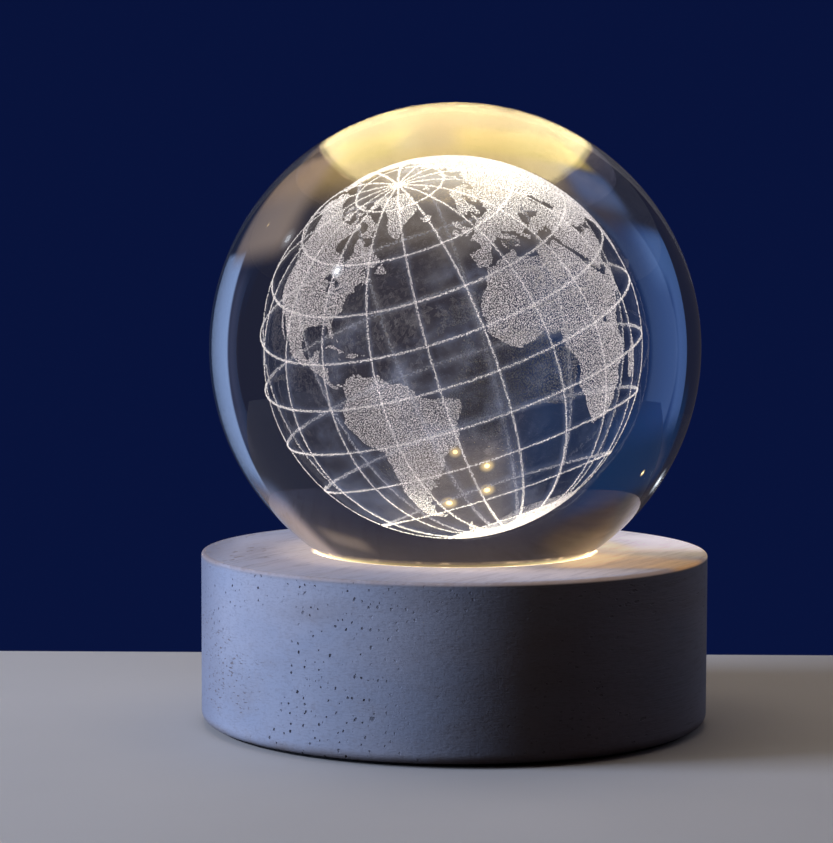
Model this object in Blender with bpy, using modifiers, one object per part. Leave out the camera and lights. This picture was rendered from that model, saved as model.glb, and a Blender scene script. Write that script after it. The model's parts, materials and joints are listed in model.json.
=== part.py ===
"""Crystal ball lamp: a glass ball with an engraved globe, on a turned base that holds a ring of warm LEDs.

Metres, +Z up. The origin is the centre of the foot, on the surface that the lamp stands on.
The back of the lamp, with its power socket, faces +Y. Sizes outside the base's pocket are
walls that are added up from the ball's seat outwards and from the foot upwards, so that
the base grows with whatever it has to hold.
"""

from math import cos, pi, radians, sin, tan

import bmesh
import bpy
from mathutils import Euler, Matrix, Vector

# Ball and its seat
BALL_RADIUS = 0.0300
BALL_SEGMENTS = 48
BALL_RINGS = 22
SEAT_ANGLE = radians(34.1)  # from the ball's lowest point to the circle that it rests on
SEAT_WIDTH = 0.0010
BALL_GAP = 0.0003

# Engraved globe, whose lines are fine channels that run together inside the glass
GLOBE_SHARE = 0.5123  # of the ball's radius
GLOBE_SHIFT = Vector((-0.00033, 0.0, 0.00010))
GLOBE_TURN = Euler((radians(21.14), radians(-0.95), radians(-55.40)))
MERIDIAN_COUNT = 16
FIRST_MERIDIAN = radians(-18.3)
PARALLELS = [radians(latitude) for latitude in (-72, -52.5, -33, -16.5, 0, 16.5, 33, 52, 75)]
LINE_WIDTH = 0.00025
LINE_DEPTH = 0.00020
POLE_HUB_RADIUS = 0.0009
VENT_RADIUS = 0.00010
VENT_SEGMENTS = 8
VENT_MERIDIAN = 13  # the vent meets this one where it crosses the first parallel

# Wooden base, as walls outwards from the pocket
SHOULDER_WIDTH = 0.0062
LEDGE_WIDTH = 0.0053
RIM_WIDTH = 0.0032
TOP_EDGE_RADIUS = 0.0004
BOTTOM_EDGE_RADIUS = 0.0012
BORE_EDGE_CHAMFER = 0.0004
BASE_SEGMENTS = 72
ARC_STEPS = 4

# Clearances
FLAT_GAP = 0.0001
SIDE_GAP = 0.0003
OVERRUN = 0.0010  # how far a cutter runs past the surface that it opens
MERGE_DISTANCE = 0.0000001
SHARP_ANGLE = radians(35)

# Foot pad and bottom cover
PAD_THICKNESS = 0.0003
PAD_INSET = 0.0015
PAD_EDGE = 0.0001
COVER_THICKNESS = 0.0015
DISC_SEGMENTS = 64

# LED board
BOARD_THICKNESS = 0.0012
BOARD_GAP = 0.0006
BOARD_HEADROOM = 0.0011
LED_COUNT = 6
LED_RING_RADIUS = 0.0106
LED_RING_PHASE = radians(22)
LED_LENGTH = 0.0035
LED_WIDTH = 0.0028
LED_HEIGHT = 0.0007
LED_CORNER = 0.00025
LED_CUP_RADIUS = 0.00120
LED_CUP_TAPER = 0.00015
LED_CUP_DEPTH = 0.00035
LED_FILL_GAP = 0.00005
LED_TO_BALL = 0.0047
LED_SEGMENTS = 24
RESISTOR_LENGTH = 0.0032
RESISTOR_WIDTH = 0.0016
RESISTOR_HEIGHT = 0.00055
RESISTOR_SPACING = 0.0040
RESISTOR_EDGE = 0.00010

# Screws
SCREW_ANGLES = (radians(30), radians(150), radians(270))
SCREW_SEGMENTS = 24
SCREW_HOLE_GAP = 0.00015
SCREW_TIP_GAP = 0.0005
SCREW_POINT = 0.0010
PAN_HEAD_RADIUS = 0.0018
PAN_HEAD_HEIGHT = 0.0012
PAN_SHANK_RADIUS = 0.0009
PAN_SHANK_LENGTH = 0.0050
FLAT_HEAD_RADIUS = 0.0019
FLAT_HEAD_HEIGHT = 0.0010
FLAT_SHANK_RADIUS = 0.0010
FLAT_SHANK_LENGTH = 0.0070
CROSS_LENGTH = 0.0020
CROSS_WIDTH = 0.00045
CROSS_DEPTH = 0.0006

# Power socket
SOCKET_BORE_RADIUS = 0.00185
SOCKET_BORE_DEPTH = 0.0080
SOCKET_NOSE_WALL = 0.00095
SOCKET_NOSE_RECESS = 0.0004
SOCKET_NOSE_GAP = 0.0002
SOCKET_TOP_WALL = 0.0002
SOCKET_SIDE_WALL = 0.0012
SOCKET_BODY_LENGTH = 0.0095
SOCKET_EDGE = 0.0003
SOCKET_WALL = 0.0030  # wood left between the socket's body and the outside
SOCKET_SEGMENTS = 32
PIN_RADIUS = 0.00065
PIN_HOLE_GAP = 0.0001
PIN_TIP_RECESS = 0.0012
PIN_TIP_TAPER = 0.0006
PIN_SEGMENTS = 20
TAG_LENGTH = 0.0020
TAG_WIDTH = 0.0018
TAG_THICKNESS = 0.0004
TAG_CLEARANCE = 0.0002
TAG_LAP = 0.0006
SPRING_WIDTH = 0.0016
SPRING_THICKNESS = 0.00025
SPRING_HEIGHT = 0.0008
SPRING_REACH = 0.0002
SPRING_BUMP_LENGTH = 0.0032
SPRING_TOE = 0.0006
SPRING_STEPS = 8
SPRING_SLOT_GAP = 0.0002
SPRING_SLOT_LAP = 0.00025

# Leads
LEAD_RADIUS = 0.00055
LEAD_PAD_X = 0.0030
LEAD_PAD_Y = 0.0080
LEAD_DROP = 0.0030
LEAD_RUN = 0.0040
LEAD_STEPS = 14

# Places that follow from the sizes
GLOBE_RADIUS = BALL_RADIUS * GLOBE_SHARE
SEAT_RADIUS = BALL_RADIUS * sin(SEAT_ANGLE)
POCKET_RADIUS = SEAT_RADIUS - SEAT_WIDTH / 2
CAVITY_RADIUS = POCKET_RADIUS + SHOULDER_WIDTH
COVER_RECESS_RADIUS = CAVITY_RADIUS + LEDGE_WIDTH
BASE_RADIUS = COVER_RECESS_RADIUS + RIM_WIDTH

NOSE_RADIUS = SOCKET_BORE_RADIUS + SOCKET_NOSE_WALL
SOCKET_HEIGHT = 2 * (NOSE_RADIUS + SOCKET_TOP_WALL)
SOCKET_WIDTH = 2 * (NOSE_RADIUS + SOCKET_SIDE_WALL)

WOOD_BOTTOM = PAD_THICKNESS + FLAT_GAP
COVER_TOP = WOOD_BOTTOM + COVER_THICKNESS
SOCKET_BOTTOM = COVER_TOP + FLAT_GAP
SOCKET_AXIS_Z = SOCKET_BOTTOM + SOCKET_HEIGHT / 2
BOARD_BOTTOM = SOCKET_BOTTOM + SOCKET_HEIGHT + BOARD_HEADROOM
BOARD_TOP = BOARD_BOTTOM + BOARD_THICKNESS
SHOULDER_Z = BOARD_TOP + FLAT_GAP
LED_TOP = BOARD_TOP + FLAT_GAP + LED_HEIGHT

BALL_CENTRE_Z = LED_TOP + LED_TO_BALL + BALL_RADIUS
SEAT_Z = BALL_CENTRE_Z - (BALL_RADIUS + BALL_GAP) * cos(SEAT_ANGLE)
WOOD_TOP = SEAT_Z + SEAT_WIDTH / 2 * tan(SEAT_ANGLE)

SOCKET_FRONT_Y = BASE_RADIUS - SOCKET_WALL - SIDE_GAP
SOCKET_BACK_Y = SOCKET_FRONT_Y - SOCKET_BODY_LENGTH
NOSE_FACE_Y = BASE_RADIUS - SOCKET_NOSE_RECESS
TAG_END_Y = SOCKET_BACK_Y - TAG_LENGTH
SPRING_Z = SOCKET_BOTTOM + SPRING_HEIGHT


def start_collections():
    """Empties the file's scene and gives the collections for the lamp and for its cutters."""
    for old in list(bpy.data.objects):
        bpy.data.objects.remove(old)
    made = []
    for name in ("crystal_ball_lamp", "cutters"):
        collection = bpy.data.collections.new(name)
        bpy.context.scene.collection.children.link(collection)
        made.append(collection)
    return made


LAMP, CUTTERS = start_collections()


def material(name, colour, roughness, metallic=0.0, transmission=0.0, glow=0.0):
    made = bpy.data.materials.new(name)
    made.use_nodes = True
    shader = made.node_tree.nodes["Principled BSDF"].inputs
    shader["Base Color"].default_value = (*colour, 1.0)
    shader["Roughness"].default_value = roughness
    shader["Metallic"].default_value = metallic
    shader["Transmission Weight"].default_value = transmission
    shader["Emission Color"].default_value = (*colour, 1.0)
    shader["Emission Strength"].default_value = glow
    return made


GLASS = material("clear_glass", (1.0, 1.0, 1.0), 0.0, transmission=1.0)
WOOD = material("whitewashed_wood", (0.62, 0.58, 0.54), 0.65)
BOARD = material("white_board", (0.80, 0.80, 0.78), 0.45)
LED_BODY = material("led_body", (0.85, 0.84, 0.80), 0.40)
PHOSPHOR = material("led_phosphor", (1.0, 0.70, 0.25), 0.50, glow=4.0)
CERAMIC = material("resistor_ceramic", (0.02, 0.02, 0.02), 0.40)
STEEL = material("zinc_plated_steel", (0.62, 0.62, 0.60), 0.35, metallic=1.0)
BLACK_PLASTIC = material("black_plastic", (0.02, 0.02, 0.02), 0.45)
TINNED_BRASS = material("tinned_brass", (0.75, 0.66, 0.45), 0.30, metallic=1.0)
RED_LEAD = material("red_lead", (0.55, 0.02, 0.02), 0.45)
BLACK_LEAD = material("black_lead", (0.015, 0.015, 0.015), 0.45)
FOAM = material("black_foam", (0.03, 0.03, 0.03), 0.95)


def empty(name, location=(0, 0, 0), parent=None):
    made = bpy.data.objects.new(name, None)
    made.location = location
    made.parent = parent
    LAMP.objects.link(made)
    return made


def finish(shape, name, surface, parent, location=(0, 0, 0), rotation=(0, 0, 0)):
    """Places a mesh or a curve as a named piece of the lamp."""
    made = bpy.data.objects.new(name, shape)
    shape.materials.append(surface)
    made.location = location
    made.rotation_euler = rotation
    made.parent = parent
    LAMP.objects.link(made)
    return made


def mesh_from(form, name):
    mesh = bpy.data.meshes.new(name)
    form.to_mesh(mesh)
    form.free()
    return mesh


def box_mesh(name, low, high, edge=0.0):
    """A box between two corners, with its edges rounded where edge is given."""
    low, high = Vector(low), Vector(high)
    form = bmesh.new()
    bmesh.ops.create_cube(form, size=1.0)
    bmesh.ops.scale(form, vec=high - low, verts=form.verts)
    bmesh.ops.translate(form, vec=(low + high) / 2, verts=form.verts)
    if edge:
        bmesh.ops.bevel(form, geom=form.edges[:], offset=edge, segments=2, profile=0.5, affect="EDGES")
    return mesh_from(form, name)


def cone_mesh(name, start, end, start_radius, end_radius, segments):
    """A round bar or cone from one point to another."""
    start, end = Vector(start), Vector(end)
    form = bmesh.new()
    bmesh.ops.create_cone(
        form,
        cap_ends=True,
        segments=segments,
        radius1=start_radius,
        radius2=end_radius,
        depth=(end - start).length,
    )
    turn = (end - start).to_track_quat("Z", "Y").to_matrix().to_4x4()
    bmesh.ops.transform(form, matrix=Matrix.Translation((start + end) / 2) @ turn, verts=form.verts)
    return mesh_from(form, name)


def turned(name, surface, profile, segments, parent, location=(0, 0, 0), rotation=(0, 0, 0), closed=False):
    """A piece turned once round Z from (radius, height) points, which run down its outside."""
    mesh = bpy.data.meshes.new(name)
    edges = [(i, i + 1) for i in range(len(profile) - 1)]
    if closed:
        edges.append((len(profile) - 1, 0))
    mesh.from_pydata([(radius, 0.0, height) for radius, height in profile], edges, [])
    piece = finish(mesh, name, surface, parent, location, rotation)
    screw = piece.modifiers.new("turn", "SCREW")
    screw.steps = segments
    screw.render_steps = segments
    screw.use_merge_vertices = True
    screw.merge_threshold = MERGE_DISTANCE
    return piece


def cutter(mesh, name):
    made = bpy.data.objects.new(name, mesh)
    made.hide_render = True
    made.display_type = "WIRE"
    CUTTERS.objects.link(made)
    return made


def boolean(piece, other, operation="DIFFERENCE"):
    joint = piece.modifiers.new(other.name, "BOOLEAN")
    joint.operation = operation
    joint.solver = "EXACT"
    joint.object = other


def polar(radius, angle, height=0.0):
    return Vector((radius * cos(angle), radius * sin(angle), height))


def quarter_arc(radius, height, size, start):
    """Points of a quarter circle about (radius, height), turning clockwise from an angle in degrees."""
    angles = [radians(start - 90 * step / ARC_STEPS) for step in range(ARC_STEPS + 1)]
    return [(radius + size * cos(angle), height + size * sin(angle)) for angle in angles]


# Wooden base

def base_profile():
    """The turned section: outside, foot, cover ledge, cavity, shoulder, pocket and ball seat."""
    ledge_z = COVER_TOP + FLAT_GAP
    outside = quarter_arc(
        BASE_RADIUS - TOP_EDGE_RADIUS, WOOD_TOP - TOP_EDGE_RADIUS, TOP_EDGE_RADIUS, 90
    ) + quarter_arc(
        BASE_RADIUS - BOTTOM_EDGE_RADIUS, WOOD_BOTTOM + BOTTOM_EDGE_RADIUS, BOTTOM_EDGE_RADIUS, 0
    )
    inside = [
        (COVER_RECESS_RADIUS, WOOD_BOTTOM),
        (COVER_RECESS_RADIUS, ledge_z),
        (CAVITY_RADIUS + BORE_EDGE_CHAMFER, ledge_z),
        (CAVITY_RADIUS, ledge_z + BORE_EDGE_CHAMFER),
        (CAVITY_RADIUS, SHOULDER_Z),
        (POCKET_RADIUS + BORE_EDGE_CHAMFER, SHOULDER_Z),
        (POCKET_RADIUS, SHOULDER_Z + BORE_EDGE_CHAMFER),
        (POCKET_RADIUS, WOOD_TOP - SEAT_WIDTH * tan(SEAT_ANGLE)),
        (POCKET_RADIUS + SEAT_WIDTH, WOOD_TOP),
    ]
    return outside + inside


def make_wood_base(parent):
    """The turned block, with the socket's slot and hole and the screws' pilot holes."""
    base = turned("wood_base", WOOD, base_profile(), BASE_SEGMENTS, parent, closed=True)

    slot_width = SOCKET_WIDTH / 2 + SIDE_GAP
    slot = box_mesh(
        "socket_slot",
        (-slot_width, CAVITY_RADIUS - 2 * OVERRUN, WOOD_BOTTOM - OVERRUN),
        (slot_width, BASE_RADIUS - SOCKET_WALL, SOCKET_BOTTOM + SOCKET_HEIGHT + SIDE_GAP),
    )
    boolean(base, cutter(slot, "socket_slot"))

    hole_radius = NOSE_RADIUS + SOCKET_NOSE_GAP
    hole = cone_mesh(
        "socket_hole",
        (0, BASE_RADIUS - SOCKET_WALL - OVERRUN, SOCKET_AXIS_Z),
        (0, BASE_RADIUS + OVERRUN, SOCKET_AXIS_Z),
        hole_radius,
        hole_radius,
        SOCKET_SEGMENTS,
    )
    boolean(base, cutter(hole, "socket_hole"))

    for number, angle in enumerate(SCREW_ANGLES, 1):
        board_place = board_screw_place(angle)
        cover_place = cover_screw_place(angle)
        pilot_hole(base, f"board_pilot_{number}", board_place, PAN_SHANK_RADIUS, PAN_SHANK_LENGTH)
        pilot_hole(base, f"cover_pilot_{number}", cover_place, FLAT_SHANK_RADIUS, FLAT_SHANK_LENGTH)
    return base


def pilot_hole(piece, name, place, radius, length):
    """A blind hole upwards from a screw's place, a little wider and deeper than its shank."""
    end = place + Vector((0, 0, length + SCREW_TIP_GAP))
    hole_radius = radius + SCREW_HOLE_GAP
    hole = cone_mesh(name, place, end, hole_radius, hole_radius, SCREW_SEGMENTS)
    boolean(piece, cutter(hole, name))


# Crystal ball

def meridian_longitude(number):
    return FIRST_MERIDIAN + 2 * pi * number / MERIDIAN_COUNT


def on_globe(longitude, latitude, east=0.0, north=0.0, out=0.0):
    """A place on the globe, in its own axes, moved eastwards, northwards and outwards."""
    outward = Vector((cos(latitude) * cos(longitude), cos(latitude) * sin(longitude), sin(latitude)))
    eastward = Vector((-sin(longitude), cos(longitude), 0))
    northward = outward.cross(eastward)
    return outward * (GLOBE_RADIUS + out) + eastward * east + northward * north


def globe_lines_mesh():
    """The globe's meridians and parallels as one closed net of square channels, with a hub at each pole."""
    form = bmesh.new()
    sides = (-1, 1)
    numbers = range(MERIDIAN_COUNT)

    def corner(number, latitude, east, north, out):
        moved = (east * LINE_WIDTH / 2, north * LINE_WIDTH / 2, out * LINE_DEPTH / 2)
        return form.verts.new(on_globe(meridian_longitude(number), latitude, *moved))

    crossings = {
        (number, row, east, north, out): corner(number, latitude, east, north, out)
        for number in numbers
        for row, latitude in enumerate(PARALLELS)
        for east in sides
        for north in sides
        for out in sides
    }

    def channel(near, far):
        """Four walls between the ends of a channel, each end given as its corners (first, second) by depth."""
        for out in sides:
            form.faces.new((near[0][out], near[1][out], far[1][out], far[0][out]))
        for side in (0, 1):
            form.faces.new((near[side][-1], near[side][1], far[side][1], far[side][-1]))

    def mouth(number, row, first, second):
        """The opening in one side of a crossing, between two of its corners."""
        return [{out: crossings[number, row, *corner_sides, out] for out in sides} for corner_sides in (first, second)]

    for number in numbers:
        after = (number + 1) % MERIDIAN_COUNT
        for row in range(len(PARALLELS)):
            for out in sides:
                around = ((-1, -1), (1, -1), (1, 1), (-1, 1))
                form.faces.new([crossings[number, row, east, north, out] for east, north in around])
            channel(mouth(number, row, (1, -1), (1, 1)), mouth(after, row, (-1, -1), (-1, 1)))
            if row + 1 < len(PARALLELS):
                channel(mouth(number, row, (-1, 1), (1, 1)), mouth(number, row + 1, (-1, -1), (1, -1)))

    for pole, row in ((-1, 0), (1, len(PARALLELS) - 1)):
        latitude = pole * (pi / 2 - POLE_HUB_RADIUS / GLOBE_RADIUS)
        hub = {
            (number, east): {out: corner(number, latitude, east, 0, out) for out in sides}
            for number in numbers
            for east in sides
        }
        for out in sides:
            form.faces.new([hub[number, east][out] for number in numbers for east in sides])
        for number in numbers:
            after = (number + 1) % MERIDIAN_COUNT
            channel(mouth(number, row, (-1, pole), (1, pole)), [hub[number, -1], hub[number, 1]])
            left, right = hub[number, 1], hub[after, -1]
            form.faces.new((left[-1], left[1], right[1], right[-1]))

    bmesh.ops.recalc_face_normals(form, faces=form.faces)
    return mesh_from(form, "globe_lines")


def make_ball(parent):
    """The glass, with the globe's lines sunk in it and a hair-thin vent from them down to its lowest part."""
    form = bmesh.new()
    bmesh.ops.create_uvsphere(form, u_segments=BALL_SEGMENTS, v_segments=BALL_RINGS, radius=BALL_RADIUS)
    ball = finish(mesh_from(form, "crystal_ball"), "crystal_ball", GLASS, parent)

    lines = cutter(globe_lines_mesh(), "globe_lines")
    lines.location = GLOBE_SHIFT
    lines.rotation_euler = GLOBE_TURN
    lines.parent = parent
    boolean(ball, lines)

    crossing = on_globe(meridian_longitude(VENT_MERIDIAN), PARALLELS[0])
    crossing.rotate(GLOBE_TURN)
    top = crossing + GLOBE_SHIFT
    foot = Vector((top.x, top.y, -BALL_RADIUS - OVERRUN))
    vent = cutter(cone_mesh("globe_vent", foot, top, VENT_RADIUS, VENT_RADIUS, VENT_SEGMENTS), "globe_vent")
    vent.parent = parent
    boolean(ball, vent)
    return ball


# Foot pad and bottom cover

def make_pad(parent):
    """The foam foot, with softened edges, a little smaller than the wood that it is stuck to."""
    radius = BASE_RADIUS - PAD_INSET
    profile = [
        (0.0, PAD_THICKNESS),
        (radius - PAD_EDGE, PAD_THICKNESS),
        (radius, PAD_THICKNESS - PAD_EDGE),
        (radius, PAD_EDGE),
        (radius - PAD_EDGE, 0.0),
        (0.0, 0.0),
    ]
    return turned("nonslip_pad", FOAM, profile, DISC_SEGMENTS, parent)


def make_cover(parent):
    """The disc that closes the cavity, flush with the wood, with a countersunk hole for each screw."""
    radius = COVER_RECESS_RADIUS - SIDE_GAP
    disc = cone_mesh("bottom_cover", (0, 0, WOOD_BOTTOM), (0, 0, COVER_TOP), radius, radius, DISC_SEGMENTS)
    cover = finish(disc, "bottom_cover", BLACK_PLASTIC, parent)
    for number, angle in enumerate(SCREW_ANGLES, 1):
        place = cover_screw_place(angle)
        sink_top = place + Vector((0, 0, FLAT_HEAD_HEIGHT))
        hole_radius = FLAT_SHANK_RADIUS + SCREW_HOLE_GAP
        head_radius = FLAT_HEAD_RADIUS + SCREW_HOLE_GAP
        past = Vector((0, 0, OVERRUN))
        mouth_radius = head_radius + OVERRUN * (head_radius - hole_radius) / FLAT_HEAD_HEIGHT
        sink_name, hole_name = f"cover_sink_{number}", f"cover_hole_{number}"
        sink = cone_mesh(sink_name, place - past, sink_top, mouth_radius, hole_radius, SCREW_SEGMENTS)
        hole = cone_mesh(hole_name, place, sink_top + past, hole_radius, hole_radius, SCREW_SEGMENTS)
        boolean(cover, cutter(sink, sink_name))
        boolean(cover, cutter(hole, hole_name))
    return cover


# Screws

def board_screw_place(angle):
    """Where a board screw's head meets the underside of the board."""
    return polar(POCKET_RADIUS + SHOULDER_WIDTH / 2, angle, BOARD_BOTTOM - FLAT_GAP)


def cover_screw_place(angle):
    """Where a cover screw's head lies flush with the underside of the cover."""
    return polar(CAVITY_RADIUS + LEDGE_WIDTH / 2, angle, WOOD_BOTTOM)


def shank_profile(radius, length):
    """The shank above a screw's head, from its point down to the head."""
    return [(0.0, length), (radius, length - SCREW_POINT), (radius, 0.0)]


def pan_screw_profile():
    """A round-topped head below the shank."""
    dome = [
        (PAN_HEAD_RADIUS * cos(angle), -PAN_HEAD_HEIGHT * sin(angle))
        for angle in (radians(30 * step) for step in range(3))
    ]
    return shank_profile(PAN_SHANK_RADIUS, PAN_SHANK_LENGTH) + dome + [(0.0, -PAN_HEAD_HEIGHT)]


def flat_screw_profile():
    """A countersunk head, whose flat face is at height zero."""
    return [
        (0.0, FLAT_SHANK_LENGTH),
        (FLAT_SHANK_RADIUS, FLAT_SHANK_LENGTH - SCREW_POINT),
        (FLAT_SHANK_RADIUS, FLAT_HEAD_HEIGHT),
        (FLAT_HEAD_RADIUS, 0.0),
        (0.0, 0.0),
    ]


def make_screw(name, profile, face_z, place, angle, parent):
    """A cross-head screw that stands on its head, with the driver's cross cut into the face at face_z."""
    screw = turned(name, STEEL, profile, SCREW_SEGMENTS, parent, place, (0, 0, angle))
    for arm, (size_x, size_y) in enumerate(((CROSS_LENGTH, CROSS_WIDTH), (CROSS_WIDTH, CROSS_LENGTH)), 1):
        low = (-size_x / 2, -size_y / 2, face_z - OVERRUN)
        high = (size_x / 2, size_y / 2, face_z + CROSS_DEPTH)
        cross = cutter(box_mesh(f"{name}_cross_{arm}", low, high), f"{name}_cross_{arm}")
        cross.location = place
        cross.rotation_euler = (0, 0, angle)
        cross.parent = parent
        boolean(screw, cross)
    return screw


def make_screws(parent):
    pan, flat = pan_screw_profile(), flat_screw_profile()
    for number, angle in enumerate(SCREW_ANGLES, 1):
        make_screw(f"board_screw_{number}", pan, -PAN_HEAD_HEIGHT, board_screw_place(angle), angle, parent)
        make_screw(f"cover_screw_{number}", flat, 0.0, cover_screw_place(angle), angle, parent)


# LED board

def make_board(parent):
    radius = CAVITY_RADIUS - BOARD_GAP
    disc = cone_mesh("led_board", (0, 0, BOARD_BOTTOM), (0, 0, BOARD_TOP), radius, radius, DISC_SEGMENTS)
    board = finish(disc, "led_board", BOARD, parent)
    rise = Vector((0, 0, BOARD_THICKNESS + OVERRUN))
    for number, angle in enumerate(SCREW_ANGLES, 1):
        place = board_screw_place(angle)
        hole_radius = PAN_SHANK_RADIUS + SCREW_HOLE_GAP
        hole = cone_mesh(
            f"board_hole_{number}",
            place - Vector((0, 0, OVERRUN)),
            place + rise,
            hole_radius,
            hole_radius,
            SCREW_SEGMENTS,
        )
        boolean(board, cutter(hole, f"board_hole_{number}"))
    return board


def led_package_mesh():
    """A moulded frame with rounded corners, to be cut by its light cup."""
    form = bmesh.new()
    bmesh.ops.create_cube(form, size=1.0)
    bmesh.ops.scale(form, vec=(LED_WIDTH, LED_LENGTH, LED_HEIGHT), verts=form.verts)
    upright = [edge for edge in form.edges if abs(edge.verts[0].co.z - edge.verts[1].co.z) > LED_HEIGHT / 2]
    bmesh.ops.bevel(form, geom=upright, offset=LED_CORNER, segments=3, profile=0.5, affect="EDGES")
    bmesh.ops.translate(form, vec=(0, 0, LED_HEIGHT / 2), verts=form.verts)
    return mesh_from(form, "led_package")


def make_leds(parent):
    """The ring of LEDs, each a white frame whose cup holds a disc of phosphor."""
    cup_floor = LED_HEIGHT - LED_CUP_DEPTH
    cup_floor_radius = LED_CUP_RADIUS - LED_CUP_TAPER
    cup_mesh = cone_mesh(
        "led_cup",
        (0, 0, cup_floor),
        (0, 0, LED_HEIGHT + LED_CUP_DEPTH),
        cup_floor_radius,
        LED_CUP_RADIUS + LED_CUP_TAPER,
        LED_SEGMENTS,
    )
    package_mesh = led_package_mesh()
    phosphor_mesh = cone_mesh(
        "led_phosphor",
        (0, 0, cup_floor + LED_FILL_GAP),
        (0, 0, LED_HEIGHT),
        cup_floor_radius - LED_FILL_GAP,
        LED_CUP_RADIUS - LED_FILL_GAP,
        LED_SEGMENTS,
    )
    for number in range(1, LED_COUNT + 1):
        angle = LED_RING_PHASE + 2 * pi * (number - 1) / LED_COUNT
        place = empty(f"led_place_{number}", polar(LED_RING_RADIUS, angle, BOARD_TOP + FLAT_GAP), parent)
        place.rotation_euler = (0, 0, angle)
        package = finish(package_mesh.copy(), f"led_package_{number}", LED_BODY, place)
        cup = cutter(cup_mesh, f"led_cup_{number}")
        cup.parent = place
        boolean(package, cup)
        finish(phosphor_mesh.copy(), f"led_phosphor_{number}", PHOSPHOR, place)


def make_resistors(parent):
    mesh = box_mesh(
        "resistor",
        (-RESISTOR_WIDTH / 2, -RESISTOR_LENGTH / 2, 0.0),
        (RESISTOR_WIDTH / 2, RESISTOR_LENGTH / 2, RESISTOR_HEIGHT),
        RESISTOR_EDGE,
    )
    for number, side in enumerate((-1, 1), 1):
        place = (side * RESISTOR_SPACING / 2, 0.0, BOARD_TOP + FLAT_GAP)
        finish(mesh.copy(), f"resistor_{number}", CERAMIC, parent, place)


# Power socket

def make_socket_housing(parent):
    """A moulded block with a round nose, a blind bore for the plug and a slot for the side contact."""
    half_width = SOCKET_WIDTH / 2
    block = box_mesh(
        "socket_housing",
        (-half_width, SOCKET_BACK_Y, SOCKET_BOTTOM),
        (half_width, SOCKET_FRONT_Y, SOCKET_BOTTOM + SOCKET_HEIGHT),
        SOCKET_EDGE,
    )
    housing = finish(block, "socket_housing", BLACK_PLASTIC, parent)
    axis = Vector((0, 0, SOCKET_AXIS_Z))

    def along(start_y, end_y, radius, name):
        start = axis + Vector((0, start_y, 0))
        end = axis + Vector((0, end_y, 0))
        return cutter(cone_mesh(name, start, end, radius, radius, SOCKET_SEGMENTS), name)

    boolean(housing, along(SOCKET_FRONT_Y - OVERRUN, NOSE_FACE_Y, NOSE_RADIUS, "socket_nose"), "UNION")
    bore_end = NOSE_FACE_Y - SOCKET_BORE_DEPTH
    boolean(housing, along(bore_end, NOSE_FACE_Y + OVERRUN, SOCKET_BORE_RADIUS, "socket_bore"))
    pin_hole = along(SOCKET_BACK_Y - OVERRUN, bore_end + OVERRUN, PIN_RADIUS + PIN_HOLE_GAP, "pin_hole")
    boolean(housing, pin_hole)

    slot_half = SPRING_WIDTH / 2 + SPRING_SLOT_GAP
    slot = box_mesh(
        "spring_slot",
        (-slot_half, SOCKET_BACK_Y - OVERRUN, SOCKET_BOTTOM - OVERRUN),
        (
            slot_half,
            spring_toe_y() + SPRING_SLOT_GAP,
            SOCKET_AXIS_Z - SOCKET_BORE_RADIUS + SPRING_SLOT_LAP,
        ),
    )
    boolean(housing, cutter(slot, "spring_slot"))
    return housing


def make_socket_pin(parent):
    """The centre contact, a turned pin with a flat solder tag behind the housing."""
    root_y = SOCKET_BACK_Y - TAG_CLEARANCE - TAG_LAP
    length = NOSE_FACE_Y - PIN_TIP_RECESS - root_y
    profile = [
        (0.0, length),
        (PIN_RADIUS - PIN_TIP_TAPER / 2, length),
        (PIN_RADIUS, length - PIN_TIP_TAPER),
        (PIN_RADIUS, 0.0),
        (0.0, 0.0),
    ]
    root = (0, root_y, SOCKET_AXIS_Z)
    pin = turned("socket_pin", TINNED_BRASS, profile, PIN_SEGMENTS, parent, root, (-pi / 2, 0, 0))
    tag = box_mesh(
        "pin_tag",
        (-TAG_WIDTH / 2, TAG_END_Y, SOCKET_AXIS_Z - TAG_THICKNESS / 2),
        (TAG_WIDTH / 2, SOCKET_BACK_Y - TAG_CLEARANCE, SOCKET_AXIS_Z + TAG_THICKNESS / 2),
    )
    boolean(pin, cutter(tag, "pin_tag"), "UNION")
    return pin


def spring_toe_y():
    """Where the side contact ends, inside the bore."""
    return SOCKET_BACK_Y + SOCKET_BODY_LENGTH - SPRING_TOE - SIDE_GAP


def spring_centreline():
    """(y, z) of the side contact: a flat tail, then a rounded bump that presses on the plug."""
    peak_z = SOCKET_AXIS_Z - SOCKET_BORE_RADIUS + SPRING_REACH - SPRING_THICKNESS / 2
    bump_start = spring_toe_y() - SPRING_BUMP_LENGTH
    line = [(TAG_END_Y, SPRING_Z)]
    for step in range(SPRING_STEPS + 1):
        share = step / SPRING_STEPS
        rise = (1 - cos(2 * pi * share)) / 2
        line.append((bump_start + SPRING_BUMP_LENGTH * share, SPRING_Z + (peak_z - SPRING_Z) * rise))
    return line


def make_socket_spring(parent):
    """The side contact, a bent strip whose outline is filled and given the strip's width."""
    half = SPRING_THICKNESS / 2
    line = spring_centreline()
    outline = [(y, z + half) for y, z in line] + [(y, z - half) for y, z in reversed(line)]
    strip = bpy.data.curves.new("socket_spring", "CURVE")
    strip.dimensions = "2D"
    strip.fill_mode = "BOTH"
    strip.extrude = SPRING_WIDTH / 2
    spline = strip.splines.new("POLY")
    spline.points.add(len(outline) - 1)
    for point, (y, z) in zip(spline.points, outline):
        point.co = (y, z, 0.0, 1.0)
    spline.use_cyclic_u = True
    return finish(strip, "socket_spring", TINNED_BRASS, parent, rotation=(pi / 2, 0, pi / 2))


# Leads

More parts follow.
